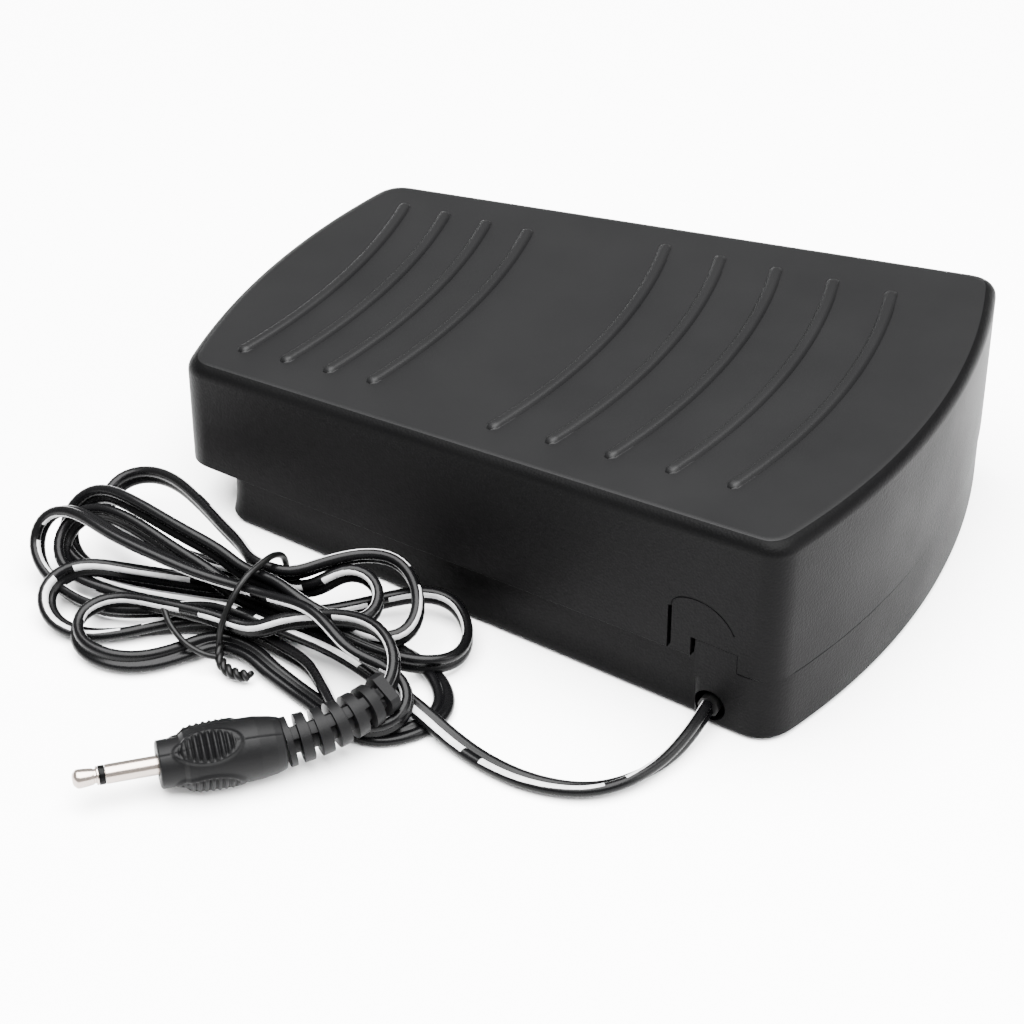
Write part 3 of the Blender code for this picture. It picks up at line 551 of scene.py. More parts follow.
def cord():
    """The flat twin cord as one mesh: two round conductors side by side."""
    path = cord_route()
    along = tangents(path)
    wide = cord_lean(path)
    on_run = 30  # a step on the open run, stripe outwards
    if wide[on_run].dot((0.0, -1.0, 0.0)) < 0:
        wide = -wide
    thin = np.cross(along, wide)
    radius = CORD_THICK / 2
    centre = (CORD_WIDTH - CORD_THICK) / 2 * 0.97
    ring = []
    for side, start in ((1.0, 0.0), (-1.0, math.pi)):
        for k in range(11):
            turn = start + math.radians(-150.0 + 30.0 * k)
            ring.append((side * centre + radius * math.cos(turn), radius * math.sin(turn)))
    reach = radius + np.abs(wide[:, 2]) * centre
    lift = np.maximum(0.0, reach + 0.0001 - path[:, 2])
    lift[:12] = 0.0
    path[:, 2] += soften(lift[:, None], 6)[:, 0]
    obj = rings("cord", [[p + w * across + h * high for across, high in ring]
                         for p, w, h in zip(path, wide, thin)])
    mesh = obj.data
    size = len(ring)
    uv = mesh.uv_layers.new(name="along")
    run = np.concatenate(([0.0], np.cumsum(np.linalg.norm(np.diff(path, axis=0), axis=1))))
    for poly in mesh.polygons:
        for loop in poly.loop_indices:
            vert = mesh.loops[loop].vertex_index
            place = vert % size / size
            if size - 1 in [v % size for v in poly.vertices] and vert % size == 0:
                place = 1.0
            uv.data[loop].uv = (place, run[vert // size])
    mesh.materials.append(cord_material())
    return obj, path, run[-1]


# ---------------------------------------------------------------- mesh helpers
def outward(obj):
    """Makes the faces of a closed mesh look outwards."""
    work = bmesh.new()
    work.from_mesh(obj.data)
    bmesh.ops.recalc_face_normals(work, faces=work.faces)
    work.to_mesh(obj.data)
    work.free()
    return obj


def rings(name, stack, cap=True):
    """A smooth mesh through rings of equal length; cap fills the two ends."""
    size = len(stack[0])
    faces = []
    for k in range(len(stack) - 1):
        for m in range(size):
            n = (m + 1) % size
            faces.append((k * size + m, k * size + n, (k + 1) * size + n, (k + 1) * size + m))
    if cap:
        faces.append(tuple(range(size))[::-1])
        faces.append(tuple(range((len(stack) - 1) * size, len(stack) * size)))
    mesh = bpy.data.meshes.new(name)
    mesh.from_pydata([tuple(p) for ring in stack for p in ring], [], faces)
    mesh.polygons.foreach_set("use_smooth", [True] * len(mesh.polygons))
    mesh.update()
    return outward(placed(name, mesh))


def tube(name, points, radius, sides=14, closed=False):
    """A round tube along the points; radius may be a list."""
    path = np.asarray(points, float)
    along = np.gradient(path, axis=0)
    if closed:
        along = np.roll(path, -1, axis=0) - np.roll(path, 1, axis=0)
    along /= np.linalg.norm(along, axis=1)[:, None]
    side = np.cross(along[0], (0.0, 0.0, 1.0))
    if np.linalg.norm(side) < 0.1:
        side = np.cross(along[0], (0.0, 1.0, 0.0))
    radii = np.broadcast_to(radius, len(path))
    stack = []
    for p, t, r in zip(path, along, radii):
        side = side - t * side.dot(t)
        side /= np.linalg.norm(side)
        over = np.cross(t, side)
        stack.append([p + r * (side * math.cos(a) + over * math.sin(a)) for a in around(sides)])
    if not closed:
        return rings(name, stack)
    lap = np.array(stack[-1])
    first = np.array(stack[0])
    shift = min(range(sides), key=lambda k: np.abs(np.roll(first, -k, axis=0) - lap).sum())
    stack.append(list(np.roll(first, -shift, axis=0)))
    obj = rings(name, stack, cap=False)
    work = bmesh.new()
    work.from_mesh(obj.data)
    bmesh.ops.remove_doubles(work, verts=work.verts, dist=1e-7)
    work.to_mesh(obj.data)
    work.free()
    return outward(obj)


def turned(name, profile, sides=48):
    """A piece turned about its own Z from (radius, height) pairs; open ends are closed."""
    hair = 0.00001  # a ring on the axis keeps this radius
    return rings(name, [[(max(r, hair) * math.cos(a), max(r, hair) * math.sin(a), height)
                         for a in around(sides)] for r, height in profile])


def block(name, low, high, bevel=0.0):
    """A box between two corners with softened edges."""
    work = bmesh.new()
    bmesh.ops.create_cube(work, size=1.0)
    bmesh.ops.scale(work, vec=[high[k] - low[k] for k in range(3)], verts=work.verts)
    bmesh.ops.translate(work, vec=[(low[k] + high[k]) / 2 for k in range(3)], verts=work.verts)
    if bevel:
        bmesh.ops.bevel(work, geom=work.edges[:], offset=bevel, segments=3, profile=0.5,
                        affect="EDGES")
    return from_bmesh(name, work)


def rod(name, centre, radius, length, axis="Z", sides=32):
    """A straight round bar about its centre, along Z or Y."""
    cx, cy, cz = centre
    stack = []
    for end in (-length / 2, length / 2):
        ring = []
        for a in around(sides):
            u, v = radius * math.cos(a), radius * math.sin(a)
            ring.append((cx + u, cy + v, cz + end) if axis == "Z" else (cx + u, cy + end, cz + v))
        stack.append(ring)
    return rings(name, stack)


def cut(target, tools, operation="DIFFERENCE"):
    """Applies the Boolean with each tool in turn and removes the tool."""
    for tool in tools:
        mod = target.modifiers.new(operation.lower(), "BOOLEAN")
        mod.operation = operation
        mod.solver = "EXACT"
        mod.object = tool
        bpy.context.view_layer.update()
        seen = target.evaluated_get(bpy.context.evaluated_depsgraph_get())
        mesh = bpy.data.meshes.new_from_object(seen)
        target.modifiers.clear()
        target.data = mesh
        bpy.data.objects.remove(tool, do_unlink=True)


def merged(name, objs):
    """One object that holds the meshes of all of them."""
    work = bmesh.new()
    for obj in objs:
        work.from_mesh(obj.data)
        bpy.data.objects.remove(obj, do_unlink=True)
    return from_bmesh(name, work)


def finish_shading(obj, angle):
    """Smooth faces with crisp edges past the angle, flat faces kept flat."""
    mesh = obj.data
    mesh.polygons.foreach_set("use_smooth", [True] * len(mesh.polygons))
    mesh.set_sharp_from_angle(angle=math.radians(angle))
    mod = obj.modifiers.new("flat faces", "WEIGHTED_NORMAL")
    mod.keep_sharp = True
    mod.weight = 50


def dress(obj, look, angle):
    """One material all over, and smooth faces with edges crisp past the angle."""
    obj.data.materials.clear()
    obj.data.materials.append(look)
    finish_shading(obj, angle)
    return obj


# ---------------------------------------------------------------- housing
def share(x):
    """How far x is from the press end to the hinge end, 0 to 1."""
    return (x - X_PRESS) / (X_HINGE - X_PRESS)


def half_width(x):
    return HALF_PRESS + (HALF_HINGE - HALF_PRESS) * share(x)


def top_z(x):
    return TOP_AT_PRESS + (TOP_AT_HINGE - TOP_AT_PRESS) * share(x)


def skirt_z(x):
    return SKIRT_AT_PRESS + (SKIRT_AT_HINGE - SKIRT_AT_PRESS) * share(x)


def level(z):
    return lambda x: z


def arc_point(x, half, bulge, y):
    """A point of an end that bows out by bulge at its middle."""
    if abs(bulge) < 1e-6:
        return Vector((x, y))
    radius = (half * half + bulge * bulge) / (2 * abs(bulge))
    out = math.sqrt(radius * radius - y * y) - (radius - abs(bulge))
    return Vector((x + math.copysign(out, bulge), y))


def corner_curve(start, corner, end, steps=9):
    """Points from start to end round a corner, both ends left out."""
    points = []
    for k in range(1, steps):
        t = k / steps
        points.append(start * (1 - t) ** 2 + corner * 2 * t * (1 - t) + end * t ** 2)
    return points


def outline(inset, x_press=X_PRESS, bulge_press=BULGE_PRESS, press_r=CORNER_R,
            hinge_r=CORNER_R, steps=44):
    """The housing seen from above, counter-clockwise, moved in by inset."""
    left = x_press + inset
    right = X_HINGE - inset
    press_r = max(press_r - inset * 0.6, LEAST_CORNER_R)
    hinge_r = max(hinge_r - inset * 0.6, LEAST_CORNER_R)
    half_r = half_width(right) - inset
    half_l = half_width(left) - inset
    hinge_end = [arc_point(right, half_r, BULGE_HINGE, (2 * k / steps - 1) * (half_r - hinge_r))
                 for k in range(steps + 1)]
    press_end = [arc_point(left, half_l, -bulge_press, (1 - 2 * k / steps) * (half_l - press_r))
                 for k in range(steps + 1)]
    right_rear, right_front = Vector((right, half_r)), Vector((right, -half_r))
    left_rear, left_front = Vector((left, half_l)), Vector((left, -half_l))
    rear = (left_rear - right_rear).normalized()
    front = (right_front - left_front).normalized()
    rear_from, rear_to = right_rear + rear * hinge_r, left_rear - rear * press_r
    front_from, front_to = left_front + front * press_r, right_front - front * hinge_r
    return [*hinge_end, *corner_curve(hinge_end[-1], right_rear, rear_from), rear_from,
            rear_to, *corner_curve(rear_to, left_rear, press_end[0]), *press_end,
            *corner_curve(press_end[-1], left_front, front_from), front_from,
            front_to, *corner_curve(front_to, right_front, hinge_end[0])]


def loft(name, levels):
    """A closed mesh through outlines; a level is (outline, height as a function of x)."""
    return rings(name, [[(p.x, p.y, height(p.x)) for p in points]
                        for points, height in levels])


def rib(x, half):
    """One raised arc: a soft bell in section, tapered at both ends, sunk into the top."""
    radius = RIB_ARC_R
    half_angle = math.asin(half / radius)
    bell = [(u, (1.0 - abs(u) ** 3.0) * 1.16 - 0.16) for u in np.linspace(-1.0, 1.0, 15)]
    stack = []
    steps = 70
    for k in range(steps + 1):
        angle = -half_angle + 2 * half_angle * k / steps
        from_end = (half_angle - abs(angle)) * radius
        scale = math.sqrt(max(1.0 - max(1.0 - from_end / RIB_TAPER, 0.0) ** 2, 0.02))
        ring = []
        for u, high in bell + [(1.0, None), (-1.0, None)]:
            out = radius + u * RIB_WIDTH / 2 * (0.35 + 0.65 * scale)
            px, py = x - radius + out * math.cos(angle), out * math.sin(angle)
            rise = -RIB_ROOT if high is None else RIB_HEIGHT * high * scale - 0.00004
            ring.append((px, py, top_z(px) + rise))
        stack.append(ring)
    return rings("rib", stack)


def wall_piece(name, span, depth, heights, side):
    """A box that follows a long wall; depth is measured in from the outer skin."""
    middle = (span[0] + span[1]) / 2
    reach = (span[1] - span[0]) / 2
    piece = block(name, (-reach, depth[0], heights[0]), (reach, depth[1], heights[1]))
    return to_wall(piece, middle, side)


def to_wall(piece, x, side):
    """Moves a piece made at the origin, +Y inwards, to the wall at x."""
    slope = math.atan2(HALF_HINGE - HALF_PRESS, X_HINGE - X_PRESS)
    if side < 0:
        piece.data.transform(Matrix.Scale(-1.0, 4, (0.0, 1.0, 0.0)))
    place = Matrix.Translation((x, -side * half_width(x), 0.0))
    piece.data.transform(place @ Matrix.Rotation(-side * slope, 4, "Z"))
    return outward(piece)


def arch_groove(side):
    """A faint groove that frames the hinge on the long wall."""
    points = [(0.0424, 0.0236), (0.0426, 0.0250), (0.0436, 0.0262), (0.0452, 0.0269),
              (0.0475, 0.0272), (0.0500, 0.0269), (0.0522, 0.0259), (0.0541, 0.0243),
              (0.0554, 0.0224)]
    middle, sunk = 0.049, 0.00002
    path = resample([(x - middle, sunk, z) for x, z in points], 0.0004)
    return to_wall(tube("groove", path, 0.00017, sides=8), middle, side)


def ears_and_lugs():
    """The outer and inner faces of each hinge ear and lug, front then rear."""
    for side in (1, -1):
        outer = half_width(PIVOT.x) - TRAY_INSET - EAR_CLEAR
        yield side, outer, outer - EAR_THICK, outer - LUG_STARTS, outer - LUG_ENDS


def cover(top_look_painted_lighter, skirt_look_painted_darker):
    """The cover: filleted shell with ribs, slots, hinge lugs, cups, plunger and catch."""
    levels = [(outline(SKIRT_WALL), lambda x: top_z(x) - ROOF),
              (outline(SKIRT_WALL), lambda x: skirt_z(x) + 0.0003),
              (outline(SKIRT_WALL - LIP_R), skirt_z),
              (outline(LIP_R), skirt_z),
              (outline(0.0), lambda x: skirt_z(x) + LIP_R),
              (outline(0.0), lambda x: top_z(x) - TOP_EDGE_R)]
    for k in range(1, 10):
        turn = math.pi / 2 * k / 9
        inset = TOP_EDGE_R * (1 - math.cos(turn))
        drop = TOP_EDGE_R * (1 - math.sin(turn))
        levels.append((outline(inset), lambda x, drop=drop: top_z(x) - drop))
    shell = loft("treadle_cover_skin", levels)
    ribs = [rib(first + k * pitch, half)
            for first, pitch, count, half in RIB_GROUPS for k in range(count)]
    cut(shell, [merged("ribs", ribs)], "UNION")
    added = [rod("plunger", (-0.009, 0.0, 0.02735), 0.0024, 0.0229),
             block("tongue", (-0.0500, -0.0055, 0.0183), (-0.0484, 0.0055, 0.0345)),
             block("toe", (-0.0562, -0.0050, 0.0181), (-0.0490, 0.0050, 0.0195))]
    removed = []
    for side, _, _, lug_out, lug_in in ears_and_lugs():
        low, high = sorted((-side * lug_out, -side * lug_in))
        added.append(block("lug", (0.0450, low, PIVOT.z - 0.0045),
                           (0.0530, high, top_z(PIVOT.x) - 0.0011)))
        removed.append(rod("bore", (PIVOT.x, (low + high) / 2, PIVOT.z), BORE_R, 0.012, "Y"))
        added.append(rod("cup", (SPRING_X, -side * SPRING_Y, 0.0315), 0.0056, 0.0090))
        removed.append(rod("cup_bore", (SPRING_X, -side * SPRING_Y, 0.0300), 0.00435,
                           0.0098))
        removed.append(wall_piece("slot", (0.0418, 0.0426), (-0.002, 0.004),
                                  (0.005, 0.0238), side))
        removed.append(wall_piece("notch", (X_FLUSH - 0.0009, TAB_END + 0.0002),
                                  (-0.002, 0.004), (0.005, TAB_TOP + 0.00025), side))
        removed.append(arch_groove(side))
    cut(shell, added, "UNION")
    cut(shell, removed)
    mesh = shell.data
    mesh.materials.clear()
    mesh.materials.append(skirt_look_painted_darker)
    mesh.materials.append(top_look_painted_lighter)
    # Upward faces on top take the copy with painted light; the walls and the top edge's fillet
    # take the copy with painted shade.
    for poly in mesh.polygons:
        x, _, z = poly.center
        above = z > top_z(x) - TOP_EDGE_R * 0.06 and poly.normal.z > 0.2
        poly.material_index = 1 if above else 0
    finish_shading(shell, 62.0)
    return shell


def base_tray(look):
    """The tray: flared foot, wall inside the skirt, flush hinge end, ears and posts."""
    def shape(inset):
        return outline(inset, X_TRAY_PRESS, TRAY_BULGE)

    def collar_shape(inset):
        return outline(inset, X_FLUSH - inset, 0.0, LEAST_CORNER_R, FLUSH_CORNER_R)

    soft_edge = ((0.0008, 0.0), (0.0002, 0.0003), (0.0, 0.0010))  # inset, height
    levels = [(shape(TRAY_FOOT_INSET + more), level(TRAY_BOTTOM + up)) for more, up in soft_edge]
    flare_z = TRAY_BOTTOM + soft_edge[-1][1]
    for k in range(1, 7):
        t = k / 6
        inset = TRAY_FOOT_INSET + (TRAY_INSET - TRAY_FOOT_INSET) * (1 - (1 - t) ** 2)
        levels.append((shape(inset), level(flare_z + (TRAY_FLARE_Z - flare_z) * t)))
    levels.append((shape(TRAY_INSET), level(0.0210)))
    tray = loft("base_tray_skin", levels)
    collar = loft("collar", [
        *((collar_shape(FLUSH_INSET + more), level(TRAY_BOTTOM + up)) for more, up in soft_edge),
        (collar_shape(FLUSH_INSET), lambda x: skirt_z(x) - 0.00030),
        (collar_shape(FLUSH_INSET + 0.0002), lambda x: skirt_z(x) - 0.00012)])
    cut(tray, [collar], "UNION")
    hollow = loft("hollow", [(shape(TRAY_INSET + TRAY_WALL), level(TRAY_FLOOR_Z)),
                             (shape(TRAY_INSET + TRAY_WALL), level(0.0410))])
    cut(tray, [hollow])
    added = [block("ledge", (-0.0612, -0.0070, 0.0200), (-0.0518, 0.0070, 0.0222))]
    removed = [rod("cord_hole", (HOLE.x, -half_width(HOLE.x), HOLE.z), HOLE_R, 0.012, "Y", 48)]
    for side, ear_out, ear_in, _, _ in ears_and_lugs():
        added.append(wall_piece("tab", (X_FLUSH, TAB_END), (FLUSH_INSET, 0.0030),
                                (0.0100, TAB_TOP), side))
        low, high = sorted((-side * ear_out, -side * ear_in))
        added.append(block("ear", (0.0445, low, 0.0110), (0.0535, high, 0.0265), 0.0008))
        removed.append(rod("ear_bore", (PIVOT.x, (low + high) / 2, PIVOT.z), BORE_R, 0.009,
                           "Y"))
        added.append(rod("spigot", (SPRING_X, -side * SPRING_Y, 0.0060), 0.0027, 0.0090))
        added.append(rod("post", (POST_X, -side * POST_Y, 0.0132), 0.0034, 0.0236))
        for x, y in FEET:
            removed.append(rod("foot_pocket", (x, side * y, 0.0), 0.0053, 0.0028, "Z", 40))
    for x in SWITCH_SCREWS_X:
        removed.append(rod("screw_hole", (x, 0.0, 0.0030), 0.0015, 0.0050))
    for x in CLAMP_SCREWS_OFF:
        removed.append(rod("clamp_hole", (HOLE.x + x, CLAMP_Y, 0.0030), 0.0013, 0.0050))
    cut(tray, added, "UNION")
    cut(tray, removed)
    return dress(tray, look, 28.0)


def return_spring(name, node, look):
    """A closed-end coil that stands between the tray and the cover."""
    low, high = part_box(node)
    wire, turns, per_turn = 0.00045, 7.5, 28
    centre = (low + high) / 2
    radius = (high.x - low.x) / 2 - wire
    bottom, top = low.z + wire, high.z - wire
    total = int(turns * per_turn)
    rise = np.ones(total)
    rise[:per_turn] = rise[-per_turn:] = 0.26  # the two end turns lie close
    heights = bottom + (top - bottom) * np.concatenate(([0.0], np.cumsum(rise))) / rise.sum()
    points = [(centre.x + radius * math.cos(2 * math.pi * k / per_turn),
               centre.y + radius * math.sin(2 * math.pi * k / per_turn), z)
              for k, z in enumerate(heights)]
    coil = tube(name, points, wire, 10)
    coil.data.materials.append(look)
    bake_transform(coil)
    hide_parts(node)


# ---------------------------------------------------------------- plug and tie
PLUG_TIP = Vector((-0.0363, -0.1215, 0.0060))
PLUG_AIM = Vector((0.0108, 0.0104, 0.0)).normalized()
PLUG_SIDE = Vector((PLUG_AIM.y, -PLUG_AIM.x, 0.0))  # towards the open floor
SEAM = math.radians(60.0)  # mould seam, up from PLUG_SIDE

PAD_MIDDLE, PAD_REACH, PAD_SPREAD = 0.0236, 0.0057, math.radians(31.0)
PAD_RIM, PAD_DISH = 0.00034, 0.00030
RIDGE_FROM, RIDGE_PITCH, RIDGE_HEIGHT = 0.0238, 0.00115, 0.00046
RELIEF_STEP = 0.0001
RELIEF_END = 0.0022  # length of the last segment


def plug_place(obj):
    """Puts a piece made along +Z from the tip into its place; +X becomes PLUG_SIDE."""
    frame_of = Matrix((PLUG_SIDE, Vector((0.0, 0.0, 1.0)), PLUG_AIM)).transposed().to_4x4()
    obj.data.transform(Matrix.Translation(PLUG_TIP) @ frame_of)
    return outward(obj)


def smoothstep(low, high, value):
    t = min(max((value - low) / (high - low), 0.0), 1.0)
    return t * t * (3 - 2 * t)


def plug_body(look):
    """Moulded grip: collar, shoulders, four oval ribbed pads and a mould seam."""
    profile = ((0.01500, 0.0040), (0.01520, 0.0043), (0.0185, 0.00435), (0.0191, 0.00440),
               (0.0199, 0.0051), (0.0212, 0.0055), (0.0240, 0.0057), (0.0290, 0.0057),
               (0.0325, 0.0056), (0.0355, 0.0051), (0.0369, 0.0047), (0.0372, 0.0044))
    heights, radii = zip(*profile)
    sides, bore_r = 144, 0.0021
    stack = []
    for h in np.linspace(heights[0], heights[-1], 190):
        base = float(np.interp(h, heights, radii))
        along = (h - PAD_MIDDLE) / PAD_REACH
        ridge = 0.5 + 0.5 * math.cos(2 * math.pi * (h - RIDGE_FROM) / RIDGE_PITCH)
        ring = []
        for turn in around(sides):
            off = (turn - SEAM + math.pi / 4) % (math.pi / 2) - math.pi / 4
            across = off / PAD_SPREAD
            inside = 1.0 - math.sqrt(along * along + across * across)
            r = base + PAD_RIM * smoothstep(-0.16, 0.02, inside)
            r -= PAD_DISH * smoothstep(0.06, 0.14, inside)
            r += RIDGE_HEIGHT * smoothstep(0.06, 0.20, inside) * ridge ** 0.7
            from_seam = abs((turn - SEAM + math.pi / 2) % math.pi - math.pi / 2) * r
            r -= 0.00013 * (1.0 - smoothstep(0.00008, 0.00024, from_seam))
            ring.append((r * math.cos(turn), r * math.sin(turn), h))
        stack.append(ring)
    bore = [[(bore_r * math.cos(a), bore_r * math.sin(a), h) for a in around(sides)]
            for h in (0.0253, 0.0150)]
    return dress(plug_place(rings("plug_grip", bore + stack)), look, 50.0)


def relief_path():
    """The bend relief's middle line, from the grip to where the cord goes in."""
    back = PLUG_TIP + PLUG_AIM * 0.0374
    side = Vector((-PLUG_AIM.y, PLUG_AIM.x, 0.0))
    route = ((0.0, 0.0, 0.0), (0.0068, 0.0006, 0.0008), (0.0134, 0.0024, 0.0017),
             (0.0198, 0.0055, 0.0025))
    points = [back + PLUG_AIM * u + side * v + Vector((0.0, 0.0, w)) for u, v, w in route]
    return resample([tuple(p) for p in points], RELIEF_STEP)


def plug_relief(look):
    """Bend relief: a core with rings held by two spines, and a square last segment."""
    path = relief_path()
    total = (len(path) - 1) * RELIEF_STEP
    last = total - RELIEF_END
    along = tangents(path)
    over = np.array(PLUG_SIDE) * math.cos(SEAM) + np.array((0.0, 0.0, 1.0)) * math.sin(SEAM)
    pitch, ring_wide, first = 0.00325, 0.00190, 0.0012
    edge = 0.00012
    marks = {0.0, total}
    for k in range(6):
        start = first + k * pitch
        for place in (start, start + edge, start + pitch - ring_wide - edge,
                      start + pitch - ring_wide):
            if place < last:
                marks.add(place)
    marks = sorted(marks | set(np.linspace(0.0, total, 90)))
    turns = sorted(set(around(72))
                   | {math.radians(a) for a in (17.0, 19.0, 161.0, 163.0, 197.0, 199.0,
                                                341.0, 343.0)})
    stack = []
    for s in marks:
        k = min(int(round(s / RELIEF_STEP)), len(path) - 1)
        p, t = path[k], along[k]
        up = over - t * over.dot(t)
        up /= np.linalg.norm(up)
        side = np.cross(t, up)
        outer = 0.00455 - 0.00075 * s / total
        phase = (s - first) % pitch
        in_gap = first <= s < last and phase < pitch - ring_wide + 1e-6
        depth = 0.0
        if in_gap:
            depth = min(phase, pitch - ring_wide - phase) / edge
            depth = min(max(depth, 0.0), 1.0)
        square = smoothstep(total - 0.0030, total - 0.0026, s)
        ring = []
        for a in turns:
            spine = abs(math.cos(a)) > math.cos(math.radians(18.0))
            r = outer - (0.0005 if spine else outer - 0.0024) * depth
            blunt = 1.0 / max(abs(math.cos(a)), abs(math.sin(a)))
            r *= 1.0 + square * (min(blunt, 1.22) * 0.93 - 1.0)
            ring.append(p + (up * math.cos(a) + side * math.sin(a)) * r)
        stack.append(ring)
    return dress(rings("plug_bend_relief", stack), look, 35.0)


def plug_metal(nickel, insulator):
    """Tip, insulating ring and sleeve, finely turned."""
    tip = turned("plug_pin_tip", (
        (0.0, 0.0), (0.0007, 0.00002), (0.0011, 0.00015), (0.00155, 0.0006),
        (0.0017, 0.00085), (0.00172, 0.0012), (0.00168, 0.0018), (0.0016, 0.0027),
        (0.0015, 0.0034), (0.00144, 0.0037), (0.0013, 0.00375), (0.0013, 0.0041),
        (0.00158, 0.00415), (0.0017, 0.0043), (0.0017, 0.0045),
        (0.0008, 0.0045), (0.0008, 0.0180), (0.0, 0.0180)))
    ring = turned("plug_pin_insulator", (
        (0.0011, 0.0046), (0.0017, 0.0046), (0.00174, 0.0047), (0.00174, 0.0056),
        (0.0017, 0.0057), (0.0011, 0.0057)))
    sleeve = turned("plug_pin_sleeve", (
        (0.0015, 0.0058), (0.0017, 0.0058), (0.00175, 0.0059), (0.00175, 0.0250),
        (0.0015, 0.0250)))
    for piece, look, angle in ((tip, nickel, 35.0), (ring, insulator, 60.0),
                               (sleeve, nickel, 60.0)):
        dress(plug_place(piece), look, angle)
    return tip, ring, sleeve


def twist_tie(look):
    """The wire tie round the waist, its ends twisted together, one end left long."""
    loop = [(-33.2, -57.0, 7.5), (-33.0, -57.2, 10.6), (-33.0, -58.4, 13.6),
            (-33.3, -61.0, 15.2), (-33.7, -64.8, 15.5), (-34.2, -68.8, 15.0),
            (-34.8, -72.2, 12.8), (-35.4, -75.0, 9.2), (-35.8, -76.2, 5.4),
            (-35.8, -75.9, 2.2), (-35.4, -73.6, 0.8), (-34.8, -69.0, 0.7), (-34.0, -63.6, 0.7),
            (-33.5, -59.4, 0.8), (-33.2, -57.6, 2.4), (-33.2, -57.0, 4.6), (-33.2, -57.0, 7.5)]
    path = resample(loop, 0.35)[:-1]
    band = tube("tie_band", path / MM, 0.00062, 14, closed=True)
    knot = resample([(-35.6, -76.6, 3.6), (-34.4, -78.4, 2.4), (-32.2, -79.6, 1.9),
                     (-29.6, -79.8, 1.8), (-27.4, -79.2, 1.9)], 0.25)
    twist = []
    per_twist, apart = 13.0, 0.62
    for phase in (0.0, math.pi):
        strand = []
        for k, p in enumerate(knot):
            turn = phase + 2 * math.pi * k / per_twist
            strand.append((p[0], p[1] + apart * math.cos(turn), p[2] + apart * math.sin(turn)))
        twist.append(tube("tie_strand", np.array(strand) / MM, 0.00060, 12))
    long_end = resample([(-34.9, -78.6, 3.0), (-37.0, -79.6, 3.6), (-41.0, -79.6, 4.6),
                         (-45.5, -77.8, 6.0), (-48.6, -75.4, 7.4)], 0.5)
    tail = tube("tie_tail", long_end / MM, 0.00060, 12)
    tie = merged("twist_tie_wire", [band, *twist, tail])
    tie.data.materials.append(look)
    return tie


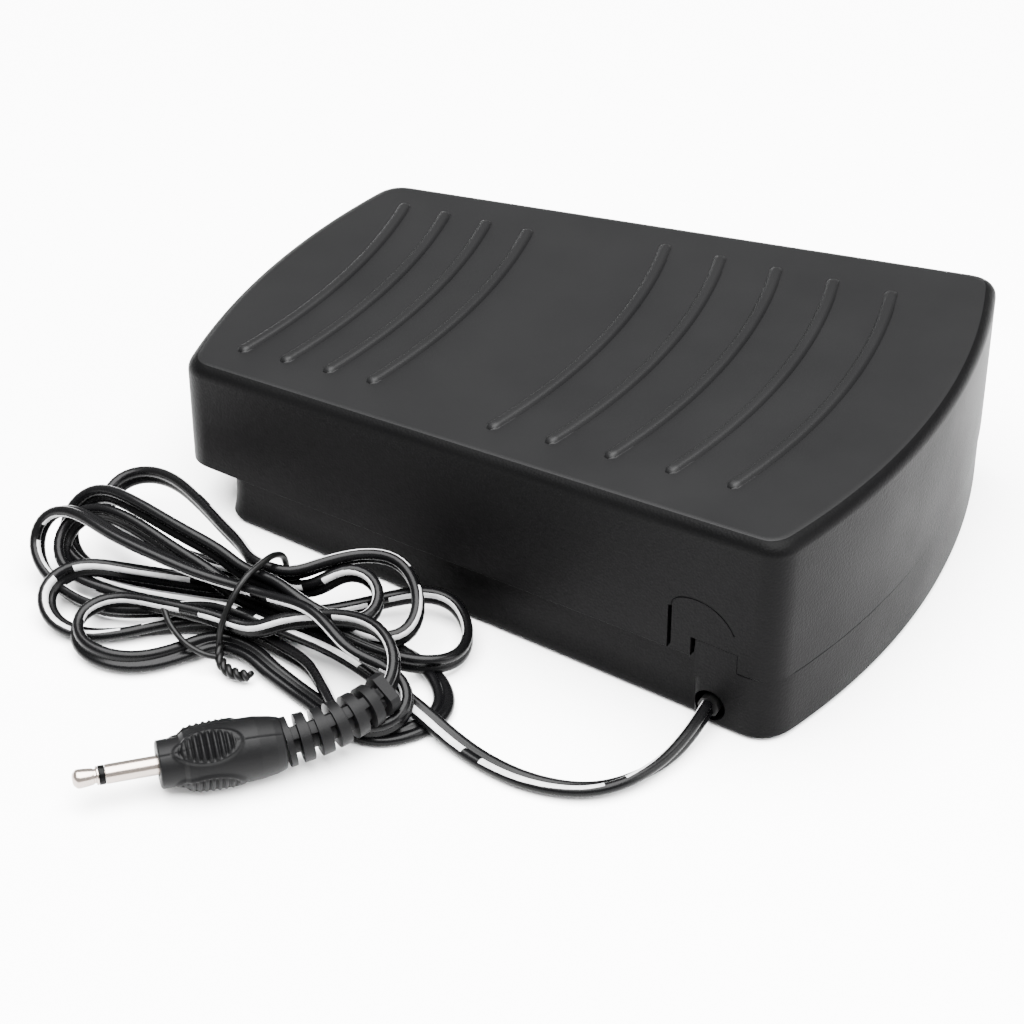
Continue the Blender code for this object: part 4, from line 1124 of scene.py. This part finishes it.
# ---------------------------------------------------------------- put together
def assemble():
    """Every look on its slot, every piece but the spring coils on its body."""
    # The skirt and the top are one black plastic in two copies. The skirt copy has the spark
    # grain and its colour is painted darker, as painted shade on the walls. The top copy's colour
    # is about twice as light, as painted light on the top.
    skirt = moulded_plastic(
        "skirt_spark_painted_darker", (0.0004, 0.0004, 0.00045), (0.0006, 0.0006, 0.00065),
        rough=(0.48, 0.56), grain_m=0.00030, depth=0.00002, spark=0.00004, shine=0.025)
    top = moulded_plastic(
        "top_satin_painted_lighter", (0.0008, 0.0008, 0.0009), (0.0012, 0.0012, 0.0013),
        rough=(0.46, 0.52), grain_m=0.00022, depth=0.000012, shine=0.08)
    looks = {
        "housing_black": skirt,
        "cover_black": skirt,
        "steel": metal("zinc_plate", (0.60, 0.60, 0.61), 0.34),
        "spring_steel": metal("spring_wire", (0.50, 0.50, 0.52), 0.28),
        "soft_rubber": moulded_plastic(
            "foot_rubber", (0.0030, 0.0030, 0.0030), (0.0050, 0.0050, 0.0050),
            rough=(0.72, 0.82), grain_m=0.0004, depth=0.00002, shine=0.05),
        "brown_board": moulded_plastic(
            "phenolic_brown", (0.13, 0.055, 0.022), (0.19, 0.085, 0.036),
            rough=(0.42, 0.52), grain_m=0.0006, depth=0.00002),
        "contact_brass": metal("rolled_brass", (0.74, 0.54, 0.24), 0.30, warm=0.10),
        "cord_vinyl": moulded_plastic(
            "lead_vinyl", (0.0010, 0.0010, 0.0010), (0.0018, 0.0018, 0.0018),
            rough=(0.30, 0.38), grain_m=0.0005, depth=0.00001, shine=0.10),
        "wire_white": moulded_plastic(
            "lead_white", (0.66, 0.66, 0.64), (0.74, 0.74, 0.72),
            rough=(0.42, 0.50), grain_m=0.0006, depth=0.00001),
        "tie_black": moulded_plastic(
            "tie_plastic", (0.0007, 0.0007, 0.0007), (0.0014, 0.0014, 0.0014),
            rough=(0.34, 0.44), grain_m=0.0005, depth=0.00002, shine=0.08),
        "plug_nickel": metal("nickel_plate", (0.27, 0.23, 0.205), 0.20, 0.0003, 0.08),
        "plug_insulator": moulded_plastic(
            "insulator_black", (0.0006, 0.0006, 0.0006), (0.0010, 0.0010, 0.0010),
            rough=(0.24, 0.32), grain_m=0.0004, depth=0.00001, shine=0.03),
        "plug_black": moulded_plastic(
            "grip_vinyl", (0.0006, 0.0006, 0.0007), (0.0011, 0.0011, 0.0012),
            rough=(0.44, 0.54), grain_m=0.0003, depth=0.00002, shine=0.06)}
    slots = {entry["node"]: entry["material_slot"] for entry in frame["record"]["subparts"]}
    for node, slot in slots.items():
        bpy.data.objects[node].material_slots[0].material = looks[slot]

    def stands_for(piece, body, slot, *nodes):
        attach(piece, body)
        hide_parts(*nodes)

    stands_for(cover(top, skirt), "cover", "cover_black", "treadle_cover")
    stands_for(base_tray(skirt), "base", "housing_black", "base_tray")
    for where in ("front", "rear"):
        return_spring("coil_" + where, "return_spring_" + where, looks["spring_steel"])
    grip = plug_body(looks["plug_black"])
    relief = plug_relief(looks["plug_black"])
    tip, ring, sleeve = plug_metal(looks["plug_nickel"], looks["plug_insulator"])
    tie = twist_tie(looks["tie_black"])
    for piece, slot, node in ((grip, "plug_black", "plug_body"),
                              (relief, "plug_black", "plug_relief"),
                              (tip, "plug_nickel", "plug_tip"),
                              (ring, "plug_insulator", "plug_ring"),
                              (sleeve, "plug_nickel", "plug_sleeve"),
                              (tie, "tie_black", "twist_tie")):
        stands_for(piece, "base", slot, node)
    line, path, length = cord()
    stands_for(line, "base", "cord_vinyl", "cord_run", "cord_hank")


camera()
studio()
assemble()
